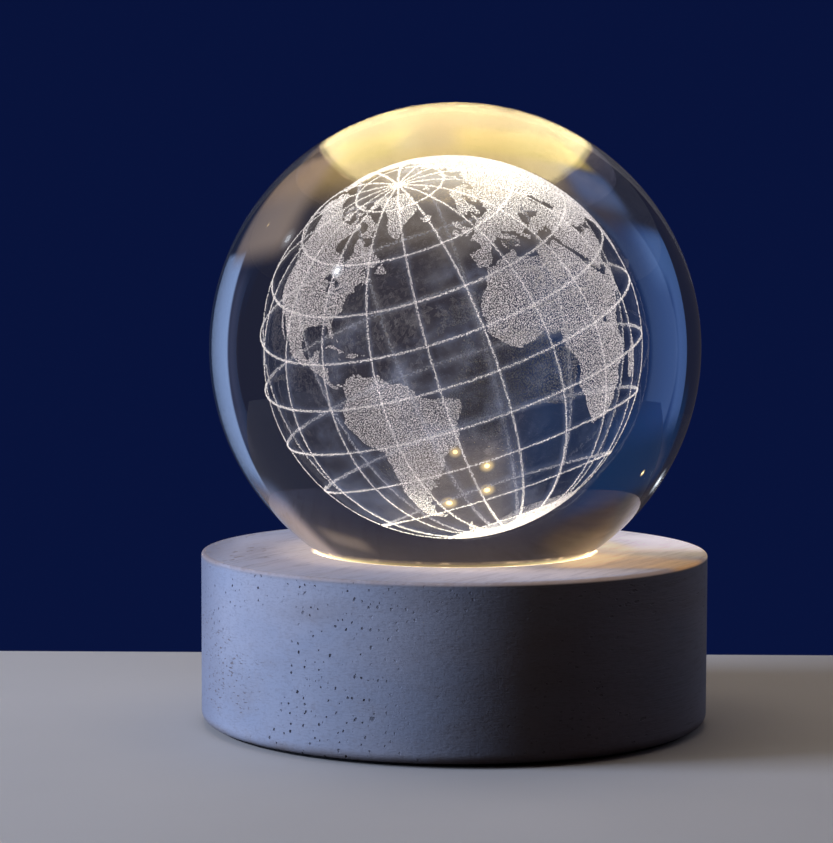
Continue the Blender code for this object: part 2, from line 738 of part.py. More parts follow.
def make_lead(name, surface, side, tag_z, parent):
    """An insulated wire from the underside of the board to one of the socket's tags."""
    wire = bpy.data.curves.new(name, "CURVE")
    wire.dimensions = "3D"
    wire.bevel_depth = LEAD_RADIUS
    wire.bevel_resolution = 2
    wire.use_fill_caps = True
    wire.resolution_u = LEAD_STEPS
    spline = wire.splines.new("BEZIER")
    spline.bezier_points.add(1)
    top, end = spline.bezier_points
    top.co = (side * LEAD_PAD_X, LEAD_PAD_Y, BOARD_BOTTOM - FLAT_GAP)
    top.handle_left = top.co + Vector((0, 0, LEAD_DROP))
    top.handle_right = top.co - Vector((0, 0, LEAD_DROP))
    end.co = (0.0, TAG_END_Y - FLAT_GAP, tag_z)
    end.handle_left = end.co - Vector((0, LEAD_RUN, 0))
    end.handle_right = end.co + Vector((0, LEAD_RUN, 0))
    return finish(wire, name, surface, parent)


def finish_surfaces():
    """Applies the pieces' modifiers, so that round faces shade smooth and true corners stay crisp."""
    graph = bpy.context.evaluated_depsgraph_get()
    for piece in LAMP.objects:
        if piece.type != "MESH":
            continue
        mesh = bpy.data.meshes.new_from_object(piece.evaluated_get(graph))
        mesh.shade_smooth()
        mesh.set_sharp_from_angle(angle=SHARP_ANGLE)
        piece.modifiers.clear()
        piece.data = mesh


def make_lamp():
    base = empty("base_assembly")
    make_wood_base(base)
    make_pad(base)
    make_cover(base)
    make_screws(base)
    make_board(base)
    make_leds(base)
    make_resistors(base)
    make_socket_housing(base)
    make_socket_pin(base)
    make_socket_spring(base)
    make_lead("lead_positive", RED_LEAD, -1, SOCKET_AXIS_Z, base)
    make_lead("lead_negative", BLACK_LEAD, 1, SPRING_Z, base)
    make_ball(empty("ball_lift_axis", (0, 0, BALL_CENTRE_Z)))
    finish_surfaces()


make_lamp()
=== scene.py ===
"""Looks of the crystal ball lamp: clear glass ball, engraved globe, whitewashed wooden base and warm LEDs."""

import json
from math import cos, degrees, pi, radians, sin, tan

import bmesh
import bpy
import numpy as np
from mathutils import Matrix, Vector


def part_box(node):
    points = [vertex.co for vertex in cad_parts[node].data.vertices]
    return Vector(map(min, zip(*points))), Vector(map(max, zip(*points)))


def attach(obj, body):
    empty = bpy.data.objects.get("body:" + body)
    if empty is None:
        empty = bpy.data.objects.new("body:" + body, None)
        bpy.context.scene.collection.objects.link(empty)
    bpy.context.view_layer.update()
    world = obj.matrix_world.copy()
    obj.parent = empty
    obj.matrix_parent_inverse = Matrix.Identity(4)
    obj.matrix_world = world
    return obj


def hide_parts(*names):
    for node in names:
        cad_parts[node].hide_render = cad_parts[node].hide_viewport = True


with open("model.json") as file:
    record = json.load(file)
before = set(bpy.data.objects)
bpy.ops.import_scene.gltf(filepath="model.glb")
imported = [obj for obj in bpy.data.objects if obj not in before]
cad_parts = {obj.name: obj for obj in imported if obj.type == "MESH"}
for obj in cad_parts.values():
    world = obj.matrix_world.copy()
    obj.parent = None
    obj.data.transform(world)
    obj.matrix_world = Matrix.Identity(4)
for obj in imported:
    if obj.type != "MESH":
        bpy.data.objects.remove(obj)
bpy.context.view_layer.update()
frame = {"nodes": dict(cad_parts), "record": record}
nodes = frame["nodes"]

# Ball and engraved globe, in metres
BALL_RADIUS = 0.0300
BALL_CELLS = 56
HAZE_CELLS = 24
HAZE_DEPTH = 0.00010  # of the haze below the marks
HAZE_BAND = (radians(0.3), radians(1.9))  # beside each engraved line, from full to none
BALL_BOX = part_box("crystal_ball")
BALL_CENTRE = Vector((0, 0, (BALL_BOX[0].z + BALL_BOX[1].z) / 2))
GLASS_IOR = 1.5168
GLOBE_RADIUS = 0.01537
GLOBE_CENTRE = BALL_CENTRE + Vector((-0.00033, 0, 0.0001))
# The globe's axes as columns: its zero meridian on the equator, ninety east, and the north pole
GLOBE_TURN = np.array([[0.5677, 0.7644, -0.3056], [-0.8230, 0.5345, -0.1921], [0.0165, 0.3606, 0.9326]])
MERIDIANS = 16
FIRST_MERIDIAN = -18.3
PARALLELS = (-72, -52.5, -33, -16.5, 0, 16.5, 33, 52, 75)
LAND_PITCH = 0.000120
LAND_JITTER = 0.55  # of the pitch
LAND_MARK = 0.000070
LAND_SPLIT = -25  # the longitude that parts the two pieces of land
SPIRAL_TURN = 137.50776405  # degrees from one mark to the next, which strews them evenly
LINE_PITCH = 0.000034
LINE_SPREAD = 0.000105
LINE_MARK = 0.000054
MARK_DEPTH = 0.00003  # how far a mark may lie above or below the globe
RANDOM_SEED = 7

# Wooden base
BASE_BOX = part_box("wood_base")
BASE_RADIUS = 0.03102
WOOD_BOTTOM = BASE_BOX[0].z
WOOD_TOP = BASE_BOX[1].z
POCKET_RADIUS = 0.01632
CAVITY_RADIUS = 0.02252
RECESS_RADIUS = 0.02782
SHOULDER_Z = WOOD_BOTTOM + 0.0100
LEDGE_Z = WOOD_BOTTOM + 0.0016
SEAT_WIDTH = 0.0010
SEAT_EDGE = POCKET_RADIUS + SEAT_WIDTH
SEAT_SLOPE = tan(radians(34.1))
TOP_EDGE = 0.0004
BOTTOM_EDGE = 0.0012
BORE_CHAMFER = 0.0004
WOOD_SEGMENTS = 288
EDGE_STEPS = 6
SHARP_ANGLE = radians(35)
SOCKET_AXIS_Z = WOOD_BOTTOM + 0.0046
SOCKET_HOLE_RADIUS = 0.0030
SOCKET_SLOT_HALF = 0.0043
SOCKET_SLOT_TOP = WOOD_BOTTOM + 0.0079
SOCKET_WALL = 0.0030
CUT_SPARE = 0.001  # how far a cutting shape reaches past what it cuts
GRAIN_ANGLE = radians(-28)  # of the grain from the front, seen from above

# LED board
BOARD_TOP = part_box("led_board")[1].z
RING_CONDUCTORS = ((0.0078, 0.0093), (0.0118, 0.0133))  # inner and outer radius of each
CONDUCTOR_EDGE = 0.0002

# Light of the LEDs on the pocket's wall, and where it's dimmer, between two LEDs
WELL_LIGHT = (6.1, 4.9, 2.4)
WELL_FRONT = (4.6, 3.4, 1.6)

# Table top
TABLE_LOW = (-0.17, -0.30, -0.012)
TABLE_HIGH = (0.17, 0.052, 0)
TABLE_EDGE = 0.0015

# Camera, fitted to the photograph's outlines
CAMERA_DISTANCE = 0.3286
CAMERA_HEIGHT_ANGLE = radians(10.5)
CAMERA_YAW = radians(-0.83)
CAMERA_PITCH = radians(4.15)
CAMERA_ROLL = radians(0.17)
FOCAL_PIXELS = 2640
LONG_SIDE_PIXELS = 843
SENSOR = 36

# What the soft lamps are aimed at, and small lamps of the room, which glint in the glass
LAMP_TARGET = Vector((0, 0, 0.025))
COOL = (0.82, 0.90, 1.0)
GOLD = (1.0, 0.72, 0.30)
ROOM_LAMPS = (  # azimuth and rise, core and halo, all in degrees, the levels of the core and the halo, colour
    (-115.3, 31.4, 1.0, 4.0, 60, 7.2, COOL),
    (-47.6, 24.5, 0.35, 1.1, 3, 1.05, GOLD),
    (-71.3, 31.1, 1.3, 4.5, 3.6, 1.26, COOL),
    (-0.1, 12.8, 0.34, 1.3, 1.6, 0.56, GOLD),
    (-5.1, 15.4, 0.40, 1.5, 2.2, 0.77, GOLD),
    (-5.5, 20.3, 0.46, 1.7, 2.2, 0.77, GOLD),
    (0.9, 23.1, 0.48, 1.8, 2.4, 0.84, GOLD),
)

# Coasts as (longitude, latitude), in whole outlines
COASTS = {
    "north_america": [
        (-168, 65.7), (-162, 66.6), (-166, 68.3), (-156.5, 71.3), (-141, 69.7), (-128, 70.2), (-115, 68.3),
        (-108, 68), (-96, 68), (-94, 72), (-90, 69), (-85, 69.5), (-81.5, 68.5), (-82, 66.5), (-87, 64.5),
        (-93, 62), (-94.7, 59), (-92.5, 57), (-88, 56.5), (-82.5, 55.2), (-82, 53), (-80, 51.3), (-79, 52),
        (-79, 54.5), (-76.5, 57), (-78, 60), (-77.5, 62.4), (-73.5, 62.3), (-70, 61), (-69.5, 59),
        (-66, 58.8), (-64.5, 60.3), (-62, 57.5), (-59.5, 55), (-56, 52.5), (-60, 50.2), (-66, 50.2),
        (-71, 46.9), (-66, 49), (-64.5, 49), (-65, 47.2), (-61.5, 45.7), (-60, 46.5), (-63.5, 44.5),
        (-66, 43.6), (-66.5, 45.2), (-70, 43.8), (-70.8, 42.5), (-70, 41.7), (-74, 40.6), (-74.7, 39),
        (-76, 36.8), (-75.6, 35.3), (-77.8, 34), (-81, 32), (-81.4, 30.5), (-80.1, 26.8), (-80.5, 25.2),
        (-81.8, 26), (-82.8, 28), (-84, 30), (-86, 30.3), (-89, 30.3), (-89.4, 29.2), (-91.5, 29.5),
        (-94.5, 29.5), (-97.2, 27.7), (-97.5, 25), (-97.8, 22.3), (-96, 19.2), (-94.5, 18.2), (-92, 18.6),
        (-90.5, 19.8), (-90.3, 21), (-87, 21.5), (-87.5, 19.5), (-88.2, 17.5), (-88.8, 15.9), (-86, 15.9),
        (-83.3, 15), (-83.6, 12.5), (-83.6, 10.9), (-82.2, 9.2), (-81, 8.8), (-79.7, 9.5), (-77.4, 8.7),
        (-78.2, 8.1), (-79.5, 8.8), (-80.3, 7.6), (-83, 8.3), (-84.7, 9.7), (-85.8, 10.5), (-87.5, 12.8),
        (-89.5, 13.5), (-92, 14.4), (-94.5, 16.2), (-96.5, 15.7), (-100, 17), (-102, 18), (-105.4, 20),
        (-105.4, 21.5), (-108, 25), (-109.4, 26), (-111, 28), (-112.8, 31), (-114.7, 31.8), (-114.5, 30),
        (-112.5, 27.5), (-110.5, 24.5), (-109.5, 23), (-112, 25), (-114.2, 27.2), (-115.7, 29.8),
        (-117.1, 32.5), (-118.5, 34), (-120.6, 34.6), (-122.4, 37.2), (-123.8, 39.5), (-124.4, 42.8),
        (-124, 46.2), (-124.7, 48.3), (-122.5, 48.8), (-127.8, 52), (-130.5, 55), (-134, 58), (-142, 60),
        (-147, 61), (-151.7, 59.3), (-151, 61), (-154, 59.3), (-158, 56.5), (-164.5, 54.6), (-160, 56),
        (-157.5, 58.7), (-162, 59), (-165, 61), (-164.5, 63.2), (-161, 64.5), (-166, 64.5),
    ],
    "baffin": [
        (-64.5, 63), (-72, 62.6), (-78, 64.5), (-73.5, 66), (-72.5, 68), (-79, 70), (-85, 70), (-89, 71.5),
        (-85, 73.6), (-78, 73), (-72, 71), (-67.5, 69.5), (-62, 67), (-66, 65),
    ],
    "victoria": [(-117, 71), (-110, 73), (-105, 71.5), (-102, 69), (-110, 68.6), (-116, 69.3)],
    "banks": [(-125, 72), (-122, 74.3), (-117, 73.5), (-121, 71.3)],
    "melville": [(-117, 75.3), (-110, 76.3), (-97, 76.5), (-96, 74.9), (-107, 74.9)],
    "somerset": [(-100, 73.5), (-92, 74), (-91, 72.5), (-100, 71.8)],
    "ellesmere": [
        (-90, 76.6), (-80, 75.2), (-79, 76.4), (-75, 78.5), (-64, 81.5), (-62, 82.7), (-75, 83.1),
        (-92, 81.5), (-95, 79.5), (-88, 78.5),
    ],
    "greenland": [
        (-73, 78.2), (-68, 76), (-60, 76), (-55, 72), (-53.5, 70.5), (-53.5, 67.5), (-51.5, 64),
        (-48.5, 61), (-44, 60), (-42.5, 62), (-40, 65), (-33, 67.7), (-25, 69.5), (-22, 71), (-20, 74),
        (-18, 77), (-20, 80), (-12, 81.5), (-25, 83.2), (-35, 83.6), (-50, 82.3), (-60, 82), (-67, 80.5),
    ],
    "newfoundland": [(-59.3, 47.7), (-55.7, 46.8), (-53, 46.7), (-53, 48.2), (-55.5, 51.5), (-57.5, 50)],
    "cuba": [
        (-85, 21.9), (-82.5, 23.1), (-80, 23), (-77, 21.7), (-74.2, 20.2), (-77.5, 19.9), (-78, 21),
        (-82, 22.4),
    ],
    "hispaniola": [(-74.4, 18.4), (-72.5, 19.9), (-69.5, 19.5), (-68.4, 18.6), (-71.5, 17.8)],
    "puerto_rico": [(-67.2, 18.5), (-65.6, 18.4), (-65.9, 17.9), (-67.2, 17.9)],
    "jamaica": [(-78.3, 18.4), (-76.3, 18.1), (-77, 17.8), (-78.2, 17.9)],
    "bahamas": [(-78.4, 25.2), (-77.8, 25), (-77.6, 23.8), (-78.2, 24.2)],
    "south_america": [
        (-77.4, 8.5), (-75.5, 10.7), (-74.8, 11.1), (-71.7, 12.4), (-71.5, 10.9), (-70, 12), (-68, 10.6),
        (-64.5, 10.2), (-62, 10.7), (-60.5, 8.5), (-57.5, 6.3), (-54, 5.9), (-51.7, 4.2), (-50, 1.8),
        (-50, 0), (-48, -0.8), (-44.3, -2.5), (-41, -2.9), (-38.5, -3.7), (-35.3, -5.3), (-34.8, -7.5),
        (-36.5, -10.5), (-38.5, -13), (-39, -17), (-40.5, -21), (-42, -23), (-45, -23.6), (-48.5, -26),
        (-48.8, -28.5), (-50.5, -30.5), (-53.4, -33.8), (-55, -34.9), (-58, -34.2), (-57.2, -36),
        (-57.6, -38.1), (-62, -38.9), (-62.3, -40.8), (-65, -41), (-63.7, -42.5), (-65.3, -45),
        (-67.5, -46), (-65.8, -47.8), (-69, -50.5), (-68.5, -52.4), (-65.2, -54.7), (-68, -55.6),
        (-71.5, -54), (-74.5, -52), (-75.5, -48.5), (-74.3, -44.5), (-73.8, -41.8), (-73.5, -37.2),
        (-71.7, -33.5), (-71.4, -30), (-70.5, -25.5), (-70.2, -18.5), (-72, -17), (-76.2, -14),
        (-78.5, -9.5), (-81.2, -6), (-81.3, -4.4), (-80, -3), (-80.9, -2.2), (-80.1, 0.7), (-78.8, 1.6),
        (-77.2, 3.8), (-77.4, 6.5), (-77.9, 7.2),
    ],
    "africa": [
        (-5.9, 35.8), (-2, 35.2), (1, 36.5), (5, 36.8), (9.8, 37.3), (11, 36.9), (10.2, 34.3), (11.5, 33.2),
        (15.2, 32.3), (15.7, 31.3), (19, 30.3), (20, 31), (20, 32.5), (23, 32.6), (25, 31.6), (29, 30.9),
        (31, 31.5), (32.5, 31.2), (32.6, 29.9), (34, 27), (35.6, 24), (37.2, 21), (37.3, 19), (39.5, 15.5),
        (43.2, 12), (43.3, 11.5), (45, 10.5), (51.2, 11.9), (50.8, 9.5), (48, 4.5), (43.5, 0.5), (41, -2),
        (39.3, -5), (39.5, -8), (40.6, -11), (40.7, -15), (37, -17.8), (34.8, -20), (35.5, -22.5),
        (35.4, -24), (32.8, -26), (32.8, -28), (30.5, -31), (27, -33.6), (22, -34.1), (20, -34.8),
        (18.4, -34), (18, -32), (15.3, -27), (14.4, -22.7), (11.8, -17.5), (13.7, -12.5), (13.2, -9),
        (12.2, -6), (9.5, -2.5), (8.8, -0.7), (9.8, 2), (9.6, 4), (8.5, 4.6), (6, 4.3), (4.3, 6.3),
        (1.2, 6.1), (-2, 4.8), (-4.5, 5.2), (-7.5, 4.4), (-9.5, 5.7), (-11.5, 7), (-13.3, 8.9), (-15, 11),
        (-16.7, 12.5), (-17.5, 14.7), (-16.4, 16.5), (-16.3, 19.3), (-17, 21), (-16, 23.8), (-14.5, 26.3),
        (-12.9, 27.9), (-9.8, 29.8), (-9.7, 31.5), (-6.8, 34),
    ],
    "madagascar": [
        (49.3, -12), (50.4, -15.5), (49.5, -18), (47.2, -25), (45, -25.5), (43.5, -23), (44.4, -20),
        (44, -17), (46.5, -15.8), (48, -13.5),
    ],
    "eurasia": [
        (-9, 37), (-9.3, 38.7), (-8.8, 41.5), (-9.2, 43.1), (-6, 43.6), (-1.8, 43.4), (-1.2, 45.5),
        (-2.5, 47.3), (-4.7, 48.2), (-1.8, 48.7), (-1.8, 49.7), (0.2, 49.6), (1.6, 50.9), (4, 51.8),
        (4.8, 53), (8, 53.7), (8.2, 56.5), (10.6, 57.7), (10.2, 56), (10.8, 54.2), (14, 54), (18.5, 54.8),
        (21, 55.3), (21.5, 57.3), (24, 57.2), (23.6, 59.2), (28, 59.6), (29.5, 60), (25, 60.2), (22.5, 60),
        (21.3, 61.5), (24.5, 65), (22, 65.8), (21.5, 64.3), (17.8, 62.5), (17.3, 60.7), (18.5, 59.8),
        (16.6, 58), (16, 56.3), (14.3, 55.5), (12.8, 55.5), (11.3, 58.8), (10.5, 59.2), (8, 58.1),
        (5.5, 58.8), (5, 61.8), (10, 64), (14, 67), (17, 69), (25, 71), (30.5, 70), (36, 69), (41, 67.5),
        (40.5, 66.3), (34, 66.7), (35, 64.3), (38, 64), (40, 64.8), (44, 66.2), (44, 68.3), (54, 68.4),
        (60.5, 69.5), (68, 68.5), (67, 72), (72.5, 72.8), (73, 69), (75, 72.6), (80.5, 72), (81, 73.6),
        (87, 75), (98, 76.2), (104.3, 77.7), (113.5, 74), (123.5, 73), (129, 71), (140, 72.5), (152, 71),
        (160, 69.7), (170, 69.9), (180, 68.9), (190, 66.1), (187, 64.4), (179.5, 62.5), (170, 60),
        (164, 59.8), (162.8, 57.8), (162, 55), (156.7, 51), (155.8, 56.5), (161, 60.2), (164.5, 62.5),
        (157, 61.6), (152, 59), (143, 59.3), (135.3, 54.8), (141.3, 53), (140.3, 48), (135, 43.5),
        (131, 42.7), (129.6, 41), (127.5, 39.7), (129.4, 37), (129, 35.2), (126.5, 34.4), (126.7, 37.5),
        (125, 38), (124.5, 40), (121.3, 39), (121.8, 40.8), (118, 39), (119, 37.5), (122.5, 37.2),
        (119.3, 35), (121.8, 31.8), (121.8, 29), (119.5, 25.5), (116.7, 23.2), (113.5, 22.2), (110.4, 21.2),
        (108, 21.6), (106, 19.5), (107, 16.8), (109.2, 13.5), (109, 11.5), (106.7, 10), (105, 8.6),
        (105, 10.3), (102.5, 12.2), (100.9, 13.4), (100, 13.2), (99.3, 10.5), (100.2, 8.5), (102, 6.5),
        (103.5, 4), (104.2, 1.4), (103.4, 1.3), (100.7, 4), (100.3, 6.5), (98.3, 8), (98.7, 11), (97.7, 16),
        (95.5, 15.9), (94.3, 16.3), (94.2, 18.8), (92, 21.5), (91, 22.7), (88.5, 21.7), (87, 21.3),
        (85.3, 19.8), (82.3, 16.8), (80.2, 15.5), (80.2, 12), (79.8, 10.3), (78.2, 8.8), (77.5, 8.1),
        (76.3, 10), (74.8, 13.5), (73.3, 17), (72.8, 20), (72.5, 21.3), (70.5, 20.8), (69.2, 22.3),
        (68, 23.8), (66.7, 25), (61.6, 25.2), (57.3, 25.7), (56.5, 27), (54, 26.6), (51.5, 27.8), (50, 30),
        (48, 30), (48.2, 29), (50, 26.7), (51, 24.7), (51.5, 25.9), (51.6, 24.2), (54.3, 24.2), (56.3, 26),
        (56.6, 24.5), (59.8, 22.5), (57.8, 19), (55.2, 17.6), (52.2, 15.6), (48, 14), (45, 12.8),
        (43.5, 12.7), (42.8, 15.5), (42.6, 16.7), (39.1, 21.3), (37, 25), (34.9, 28), (35, 29.5),
        (34.2, 31.3), (35.5, 33.9), (36, 36.8), (32.6, 36.1), (30.6, 36.8), (27.4, 36.8), (26.3, 38.5),
        (26.2, 40), (29, 41), (31.4, 41.3), (35, 42), (38, 41), (41.5, 41.5), (39, 44), (36.7, 45.3),
        (39, 47.2), (35, 46.3), (36, 45.2), (33.5, 44.5), (32.7, 46), (30.7, 46.4), (28.7, 44), (28, 42),
        (28.8, 41.3), (26.2, 40.7), (24, 40.7), (22.7, 40.4), (23.3, 39), (24, 37.7), (23, 36.5),
        (21.7, 36.9), (21.2, 38.3), (19.4, 40.3), (19.5, 41.8), (15.2, 44.2), (13.6, 45.1), (12.4, 45.2),
        (12.4, 44.2), (13.6, 43.6), (16, 41.8), (18.5, 40.2), (17, 40.5), (16.6, 39.7), (17.1, 39),
        (16, 38), (15.7, 40), (12.5, 41.5), (10.4, 43), (8.8, 44.4), (6.5, 43.1), (3.1, 43.1), (3.2, 41.9),
        (0.7, 40.7), (-0.3, 39.5), (0, 38.7), (-2.1, 36.8), (-5.4, 36.1), (-6.3, 36.8),
    ],
    "britain": [
        (-5.6, 50.1), (-3.5, 50.3), (1.3, 51.2), (1.7, 52.7), (0.2, 53.3), (-1.5, 55), (-2, 57.6),
        (-4, 57.7), (-3.1, 58.6), (-5, 58.6), (-6, 56.6), (-4.9, 55), (-3, 54), (-4.5, 53.2), (-5.2, 51.8),
        (-3, 51.4),
    ],
    "ireland": [(-10, 51.7), (-6.3, 52.3), (-6, 54.5), (-8, 55.2), (-10, 54)],
    "iceland": [
        (-22.5, 64), (-18.5, 63.4), (-14, 64.8), (-15, 66.3), (-18.5, 66), (-22.5, 66.4), (-24.3, 65.6),
        (-22, 65),
    ],
    "svalbard": [(15, 77), (22, 78.5), (27, 80), (12, 79.5)],
    "novaya": [(52, 71), (57, 70.7), (56, 72.5), (68, 76.8), (60, 76), (54, 73)],
    "sicily": [(12.5, 37.9), (15.6, 38.2), (15.1, 36.7)],
    "sardinia": [(8.3, 40.9), (9.2, 42.9), (9.7, 41), (9.5, 39.2), (8.5, 39)],
    "crete": [(23.6, 35.5), (26.2, 35.3), (24.5, 34.9)],
    "cyprus": [(32.4, 35), (34.5, 35.6), (33.5, 34.6)],
    "honshu": [
        (130, 31.5), (131.5, 33.5), (135.7, 33.5), (139, 34.8), (140.8, 35.7), (142, 39.5), (141.3, 41.3),
        (140, 40), (138.5, 37.4), (136, 36), (132.6, 35.4), (131, 34.4), (129.7, 33),
    ],
    "hokkaido": [(140, 41.6), (143.2, 42), (145.5, 43.3), (141.8, 45.4), (140.5, 43.2)],
    "sakhalin": [(142, 46), (143.3, 49.5), (142.7, 54.3), (142, 50)],
    "taiwan": [(120.2, 23), (120.9, 22), (121.9, 25)],
    "hainan": [(108.7, 19.3), (110, 18.4), (111, 20)],
    "ceylon": [(79.8, 8), (80.2, 6), (81.8, 7), (80.2, 9.7)],
    "luzon": [(120.3, 16), (120.8, 18.5), (122.2, 18.5), (121.6, 14.5), (124, 12.7), (120.7, 13.8)],
    "mindanao": [(122, 7), (126, 6.3), (126.4, 8.5), (125, 12), (123.4, 8.6)],
    "borneo": [
        (109, 1.5), (111.5, 2.6), (114, 4.5), (117, 7), (119, 5), (117.7, 1), (116, -3.8), (111.7, -3.4),
        (110, -1.5),
    ],
    "sumatra": [
        (95.3, 5.6), (98.5, 3.9), (103.5, -0.8), (106, -3), (105.7, -5.8), (102.3, -4), (98.7, 1.7),
    ],
    "java": [(105.3, -6.8), (108.5, -6.6), (112.7, -7), (114.4, -8.5), (110, -8.1)],
    "timor": [(116, -8.5), (119.5, -8.4), (125, -8.6), (127, -8.5), (123.6, -10.3), (119, -9.2)],
    "sulawesi": [(119.5, -5.4), (120.4, -3), (122.5, -4.7), (121.5, -1), (125, 1.5), (120, 0.8), (119, -3)],
    "new_guinea": [
        (131, -0.8), (134, -0.9), (135, -3.3), (138, -1.7), (145, -4.4), (147.8, -6.2), (150.7, -10.4),
        (146, -8.8), (143, -9.2), (138, -8.3), (138, -5.5), (133, -4), (132.5, -2.5),
    ],
    "australia": [
        (113.5, -22.5), (114, -26.5), (115.7, -32), (115, -34.2), (118, -35), (123.5, -34), (129, -31.6),
        (133.5, -32.2), (136, -34.8), (137.8, -33), (138.5, -35.5), (140.5, -38), (143.7, -38.8),
        (146.4, -39), (150, -37.3), (151.5, -33), (153.5, -28.5), (153, -25.5), (150.7, -22.7),
        (146.5, -19.2), (145.5, -15), (142.5, -10.8), (141.6, -14), (140.8, -17.6), (137, -15.9),
        (136.8, -12.2), (132.5, -11.3), (129.5, -14.8), (126, -14), (122.2, -18), (117, -20.7),
    ],
    "tasmania": [(144.7, -40.8), (148.2, -41), (147, -43.6), (145.5, -42.8)],
    "new_zealand_north": [
        (172.8, -34.5), (175.5, -36.7), (178.4, -37.8), (177, -39.5), (175.2, -41.5), (174, -39.5),
        (174.8, -37),
    ],
    "new_zealand_south": [
        (172.7, -40.6), (174.2, -41.6), (172.8, -43.8), (170.7, -46), (168.4, -46.6), (166.5, -45.9),
        (171, -42.5),
    ],
    "antarctica": [
        (-180, -90), (-180, -78), (-150, -77), (-135, -74.5), (-100, -72.5), (-75, -73), (-67, -68),
        (-57.5, -63.3), (-61, -67), (-62, -75), (-40, -78), (-27, -76), (-12, -71.5), (20, -70), (50, -67),
        (70, -69), (88, -66.5), (113, -66), (135, -66), (150, -68.5), (170, -72), (163, -78), (180, -78),
        (180, -90),
    ],
}
# Lakes and a sea that lie inside them
WATERS = {
    "caspian": [(47, 45.5), (51, 47), (53, 45), (51, 42.5), (53.5, 40), (54, 37), (50, 37.3), (49, 40.5)],
    "great_lakes": [
        (-92, 46.7), (-88, 48.8), (-84.5, 46.6), (-80, 45.5), (-82, 43.2), (-84, 46), (-85, 45.5),
    ],
    "michigan": [(-87.8, 41.8), (-86.3, 42), (-85.2, 45.7), (-87.9, 44.5)],
    "erie": [(-83.3, 41.6), (-79, 42.8), (-76.3, 43.5), (-79.5, 43.5), (-81.5, 42.4)],
    "victoria_lake": [(31.8, 0), (34, 0.3), (33.5, -2.4), (31.8, -2)],
}


class Wire:
    """A node's output. Sums on it add Math nodes, or Vector Math nodes for colours and vectors."""

    def __init__(self, nodes, socket):
        self.nodes = nodes
        self.socket = socket

    def reckon(self, operation, first, second):
        wide = any(
            x.socket.type in ("VECTOR", "RGBA") if isinstance(x, Wire) else hasattr(x, "__len__")
            for x in (first, second)
        )
        kind = "ShaderNodeVectorMath" if wide else "ShaderNodeMath"
        return self.nodes.add(kind, {0: first, 1: second}, operation=operation)

    def __add__(self, other):
        return self.reckon("ADD", self, other)

    def __radd__(self, other):
        return self.reckon("ADD", other, self)

    def __sub__(self, other):
        return self.reckon("SUBTRACT", self, other)

    def __rsub__(self, other):
        return self.reckon("SUBTRACT", other, self)

    def __mul__(self, other):
        return self.reckon("MULTIPLY", self, other)

    def __rmul__(self, other):
        return self.reckon("MULTIPLY", other, self)

    def __truediv__(self, other):
        return self.reckon("DIVIDE", self, other)

    def __pow__(self, other):
        return self.reckon("POWER", self, other)


class Nodes:
    """The nodes of one material or world."""

    def __init__(self, tree):
        self.tree = tree

    def feed(self, socket, value):
        """Links a wire to the socket, or sets the socket's own value."""
        if isinstance(value, Wire):
            self.tree.links.new(value.socket, socket)
            return
        size = len(socket.default_value) if hasattr(socket.default_value, "__len__") else 0
        if size and not hasattr(value, "__len__"):
            value = (value,) * size
        if size == 4 and len(value) == 3:
            value = (*value, 1)
        socket.default_value = value

    def add(self, kind, sockets=None, output=0, **settings):
        """A node of this kind: its settings first, then what its sockets take."""
        made = self.tree.nodes.new(kind)
        for name, value in settings.items():
            setattr(made, name, value)
        for name, value in (sockets or {}).items():
            self.feed(made.inputs[name], value)
        return Wire(self, made.outputs[output])

    def maths(self, operation, first, second=0):
        return self.add("ShaderNodeMath", {0: first, 1: second}, operation=operation)

    def measure(self, operation, vector, other=(0, 0, 0)):
        """A number from vectors, such as a length or a dot product."""
        return self.add("ShaderNodeVectorMath", {0: vector, 1: other}, output="Value", operation=operation)

    def parts(self, vector):
        split = self.add("ShaderNodeSeparateXYZ", {0: vector})
        return [Wire(self, output) for output in split.socket.node.outputs]

    def join(self, x, y, z):
        return self.add("ShaderNodeCombineXYZ", {0: x, 1: y, 2: z})

    def place(self):
        """Where a point is on its own object, in metres."""
        return self.add("ShaderNodeTexCoord", output="Object")

    def ray(self, kind):
        return self.add("ShaderNodeLightPath", output=f"Is {kind} Ray")

    def step(self, value, low, high, out_low=0, out_high=1):
        """Goes smoothly from out_low at low to out_high at high."""
        return self.add(
            "ShaderNodeMapRange",
            {"Value": value, "From Min": low, "From Max": high, "To Min": out_low, "To Max": out_high},
            interpolation_type="SMOOTHSTEP",
        )

    def between(self, value, low, high, soft_low=1, soft_high=1):
        """One between low and high, with soft ends of these widths inside them."""
        return self.step(value, low, low + soft_low) * (1 - self.step(value, high - soft_high, high))

    def mix(self, share, first, second):
        return self.add("ShaderNodeMix", {0: share, 6: first, 7: second}, output=2, data_type="RGBA")

    def lay_over(self, colour, coats):
        """Lays coats over a colour in turn, each as (share, colour)."""
        for share, coat in coats:
            colour = self.mix(share, colour, coat)
        return colour

    def noise(self, vector, scale, detail=2, roughness=0.5):
        return self.add(
            "ShaderNodeTexNoise",
            {"Vector": vector, "Scale": scale, "Detail": detail, "Roughness": roughness},
        )

    def bump(self, height, depth):
        sockets = {"Height": height, "Strength": 1, "Distance": depth}
        return self.add("ShaderNodeBump", sockets, output="Normal")


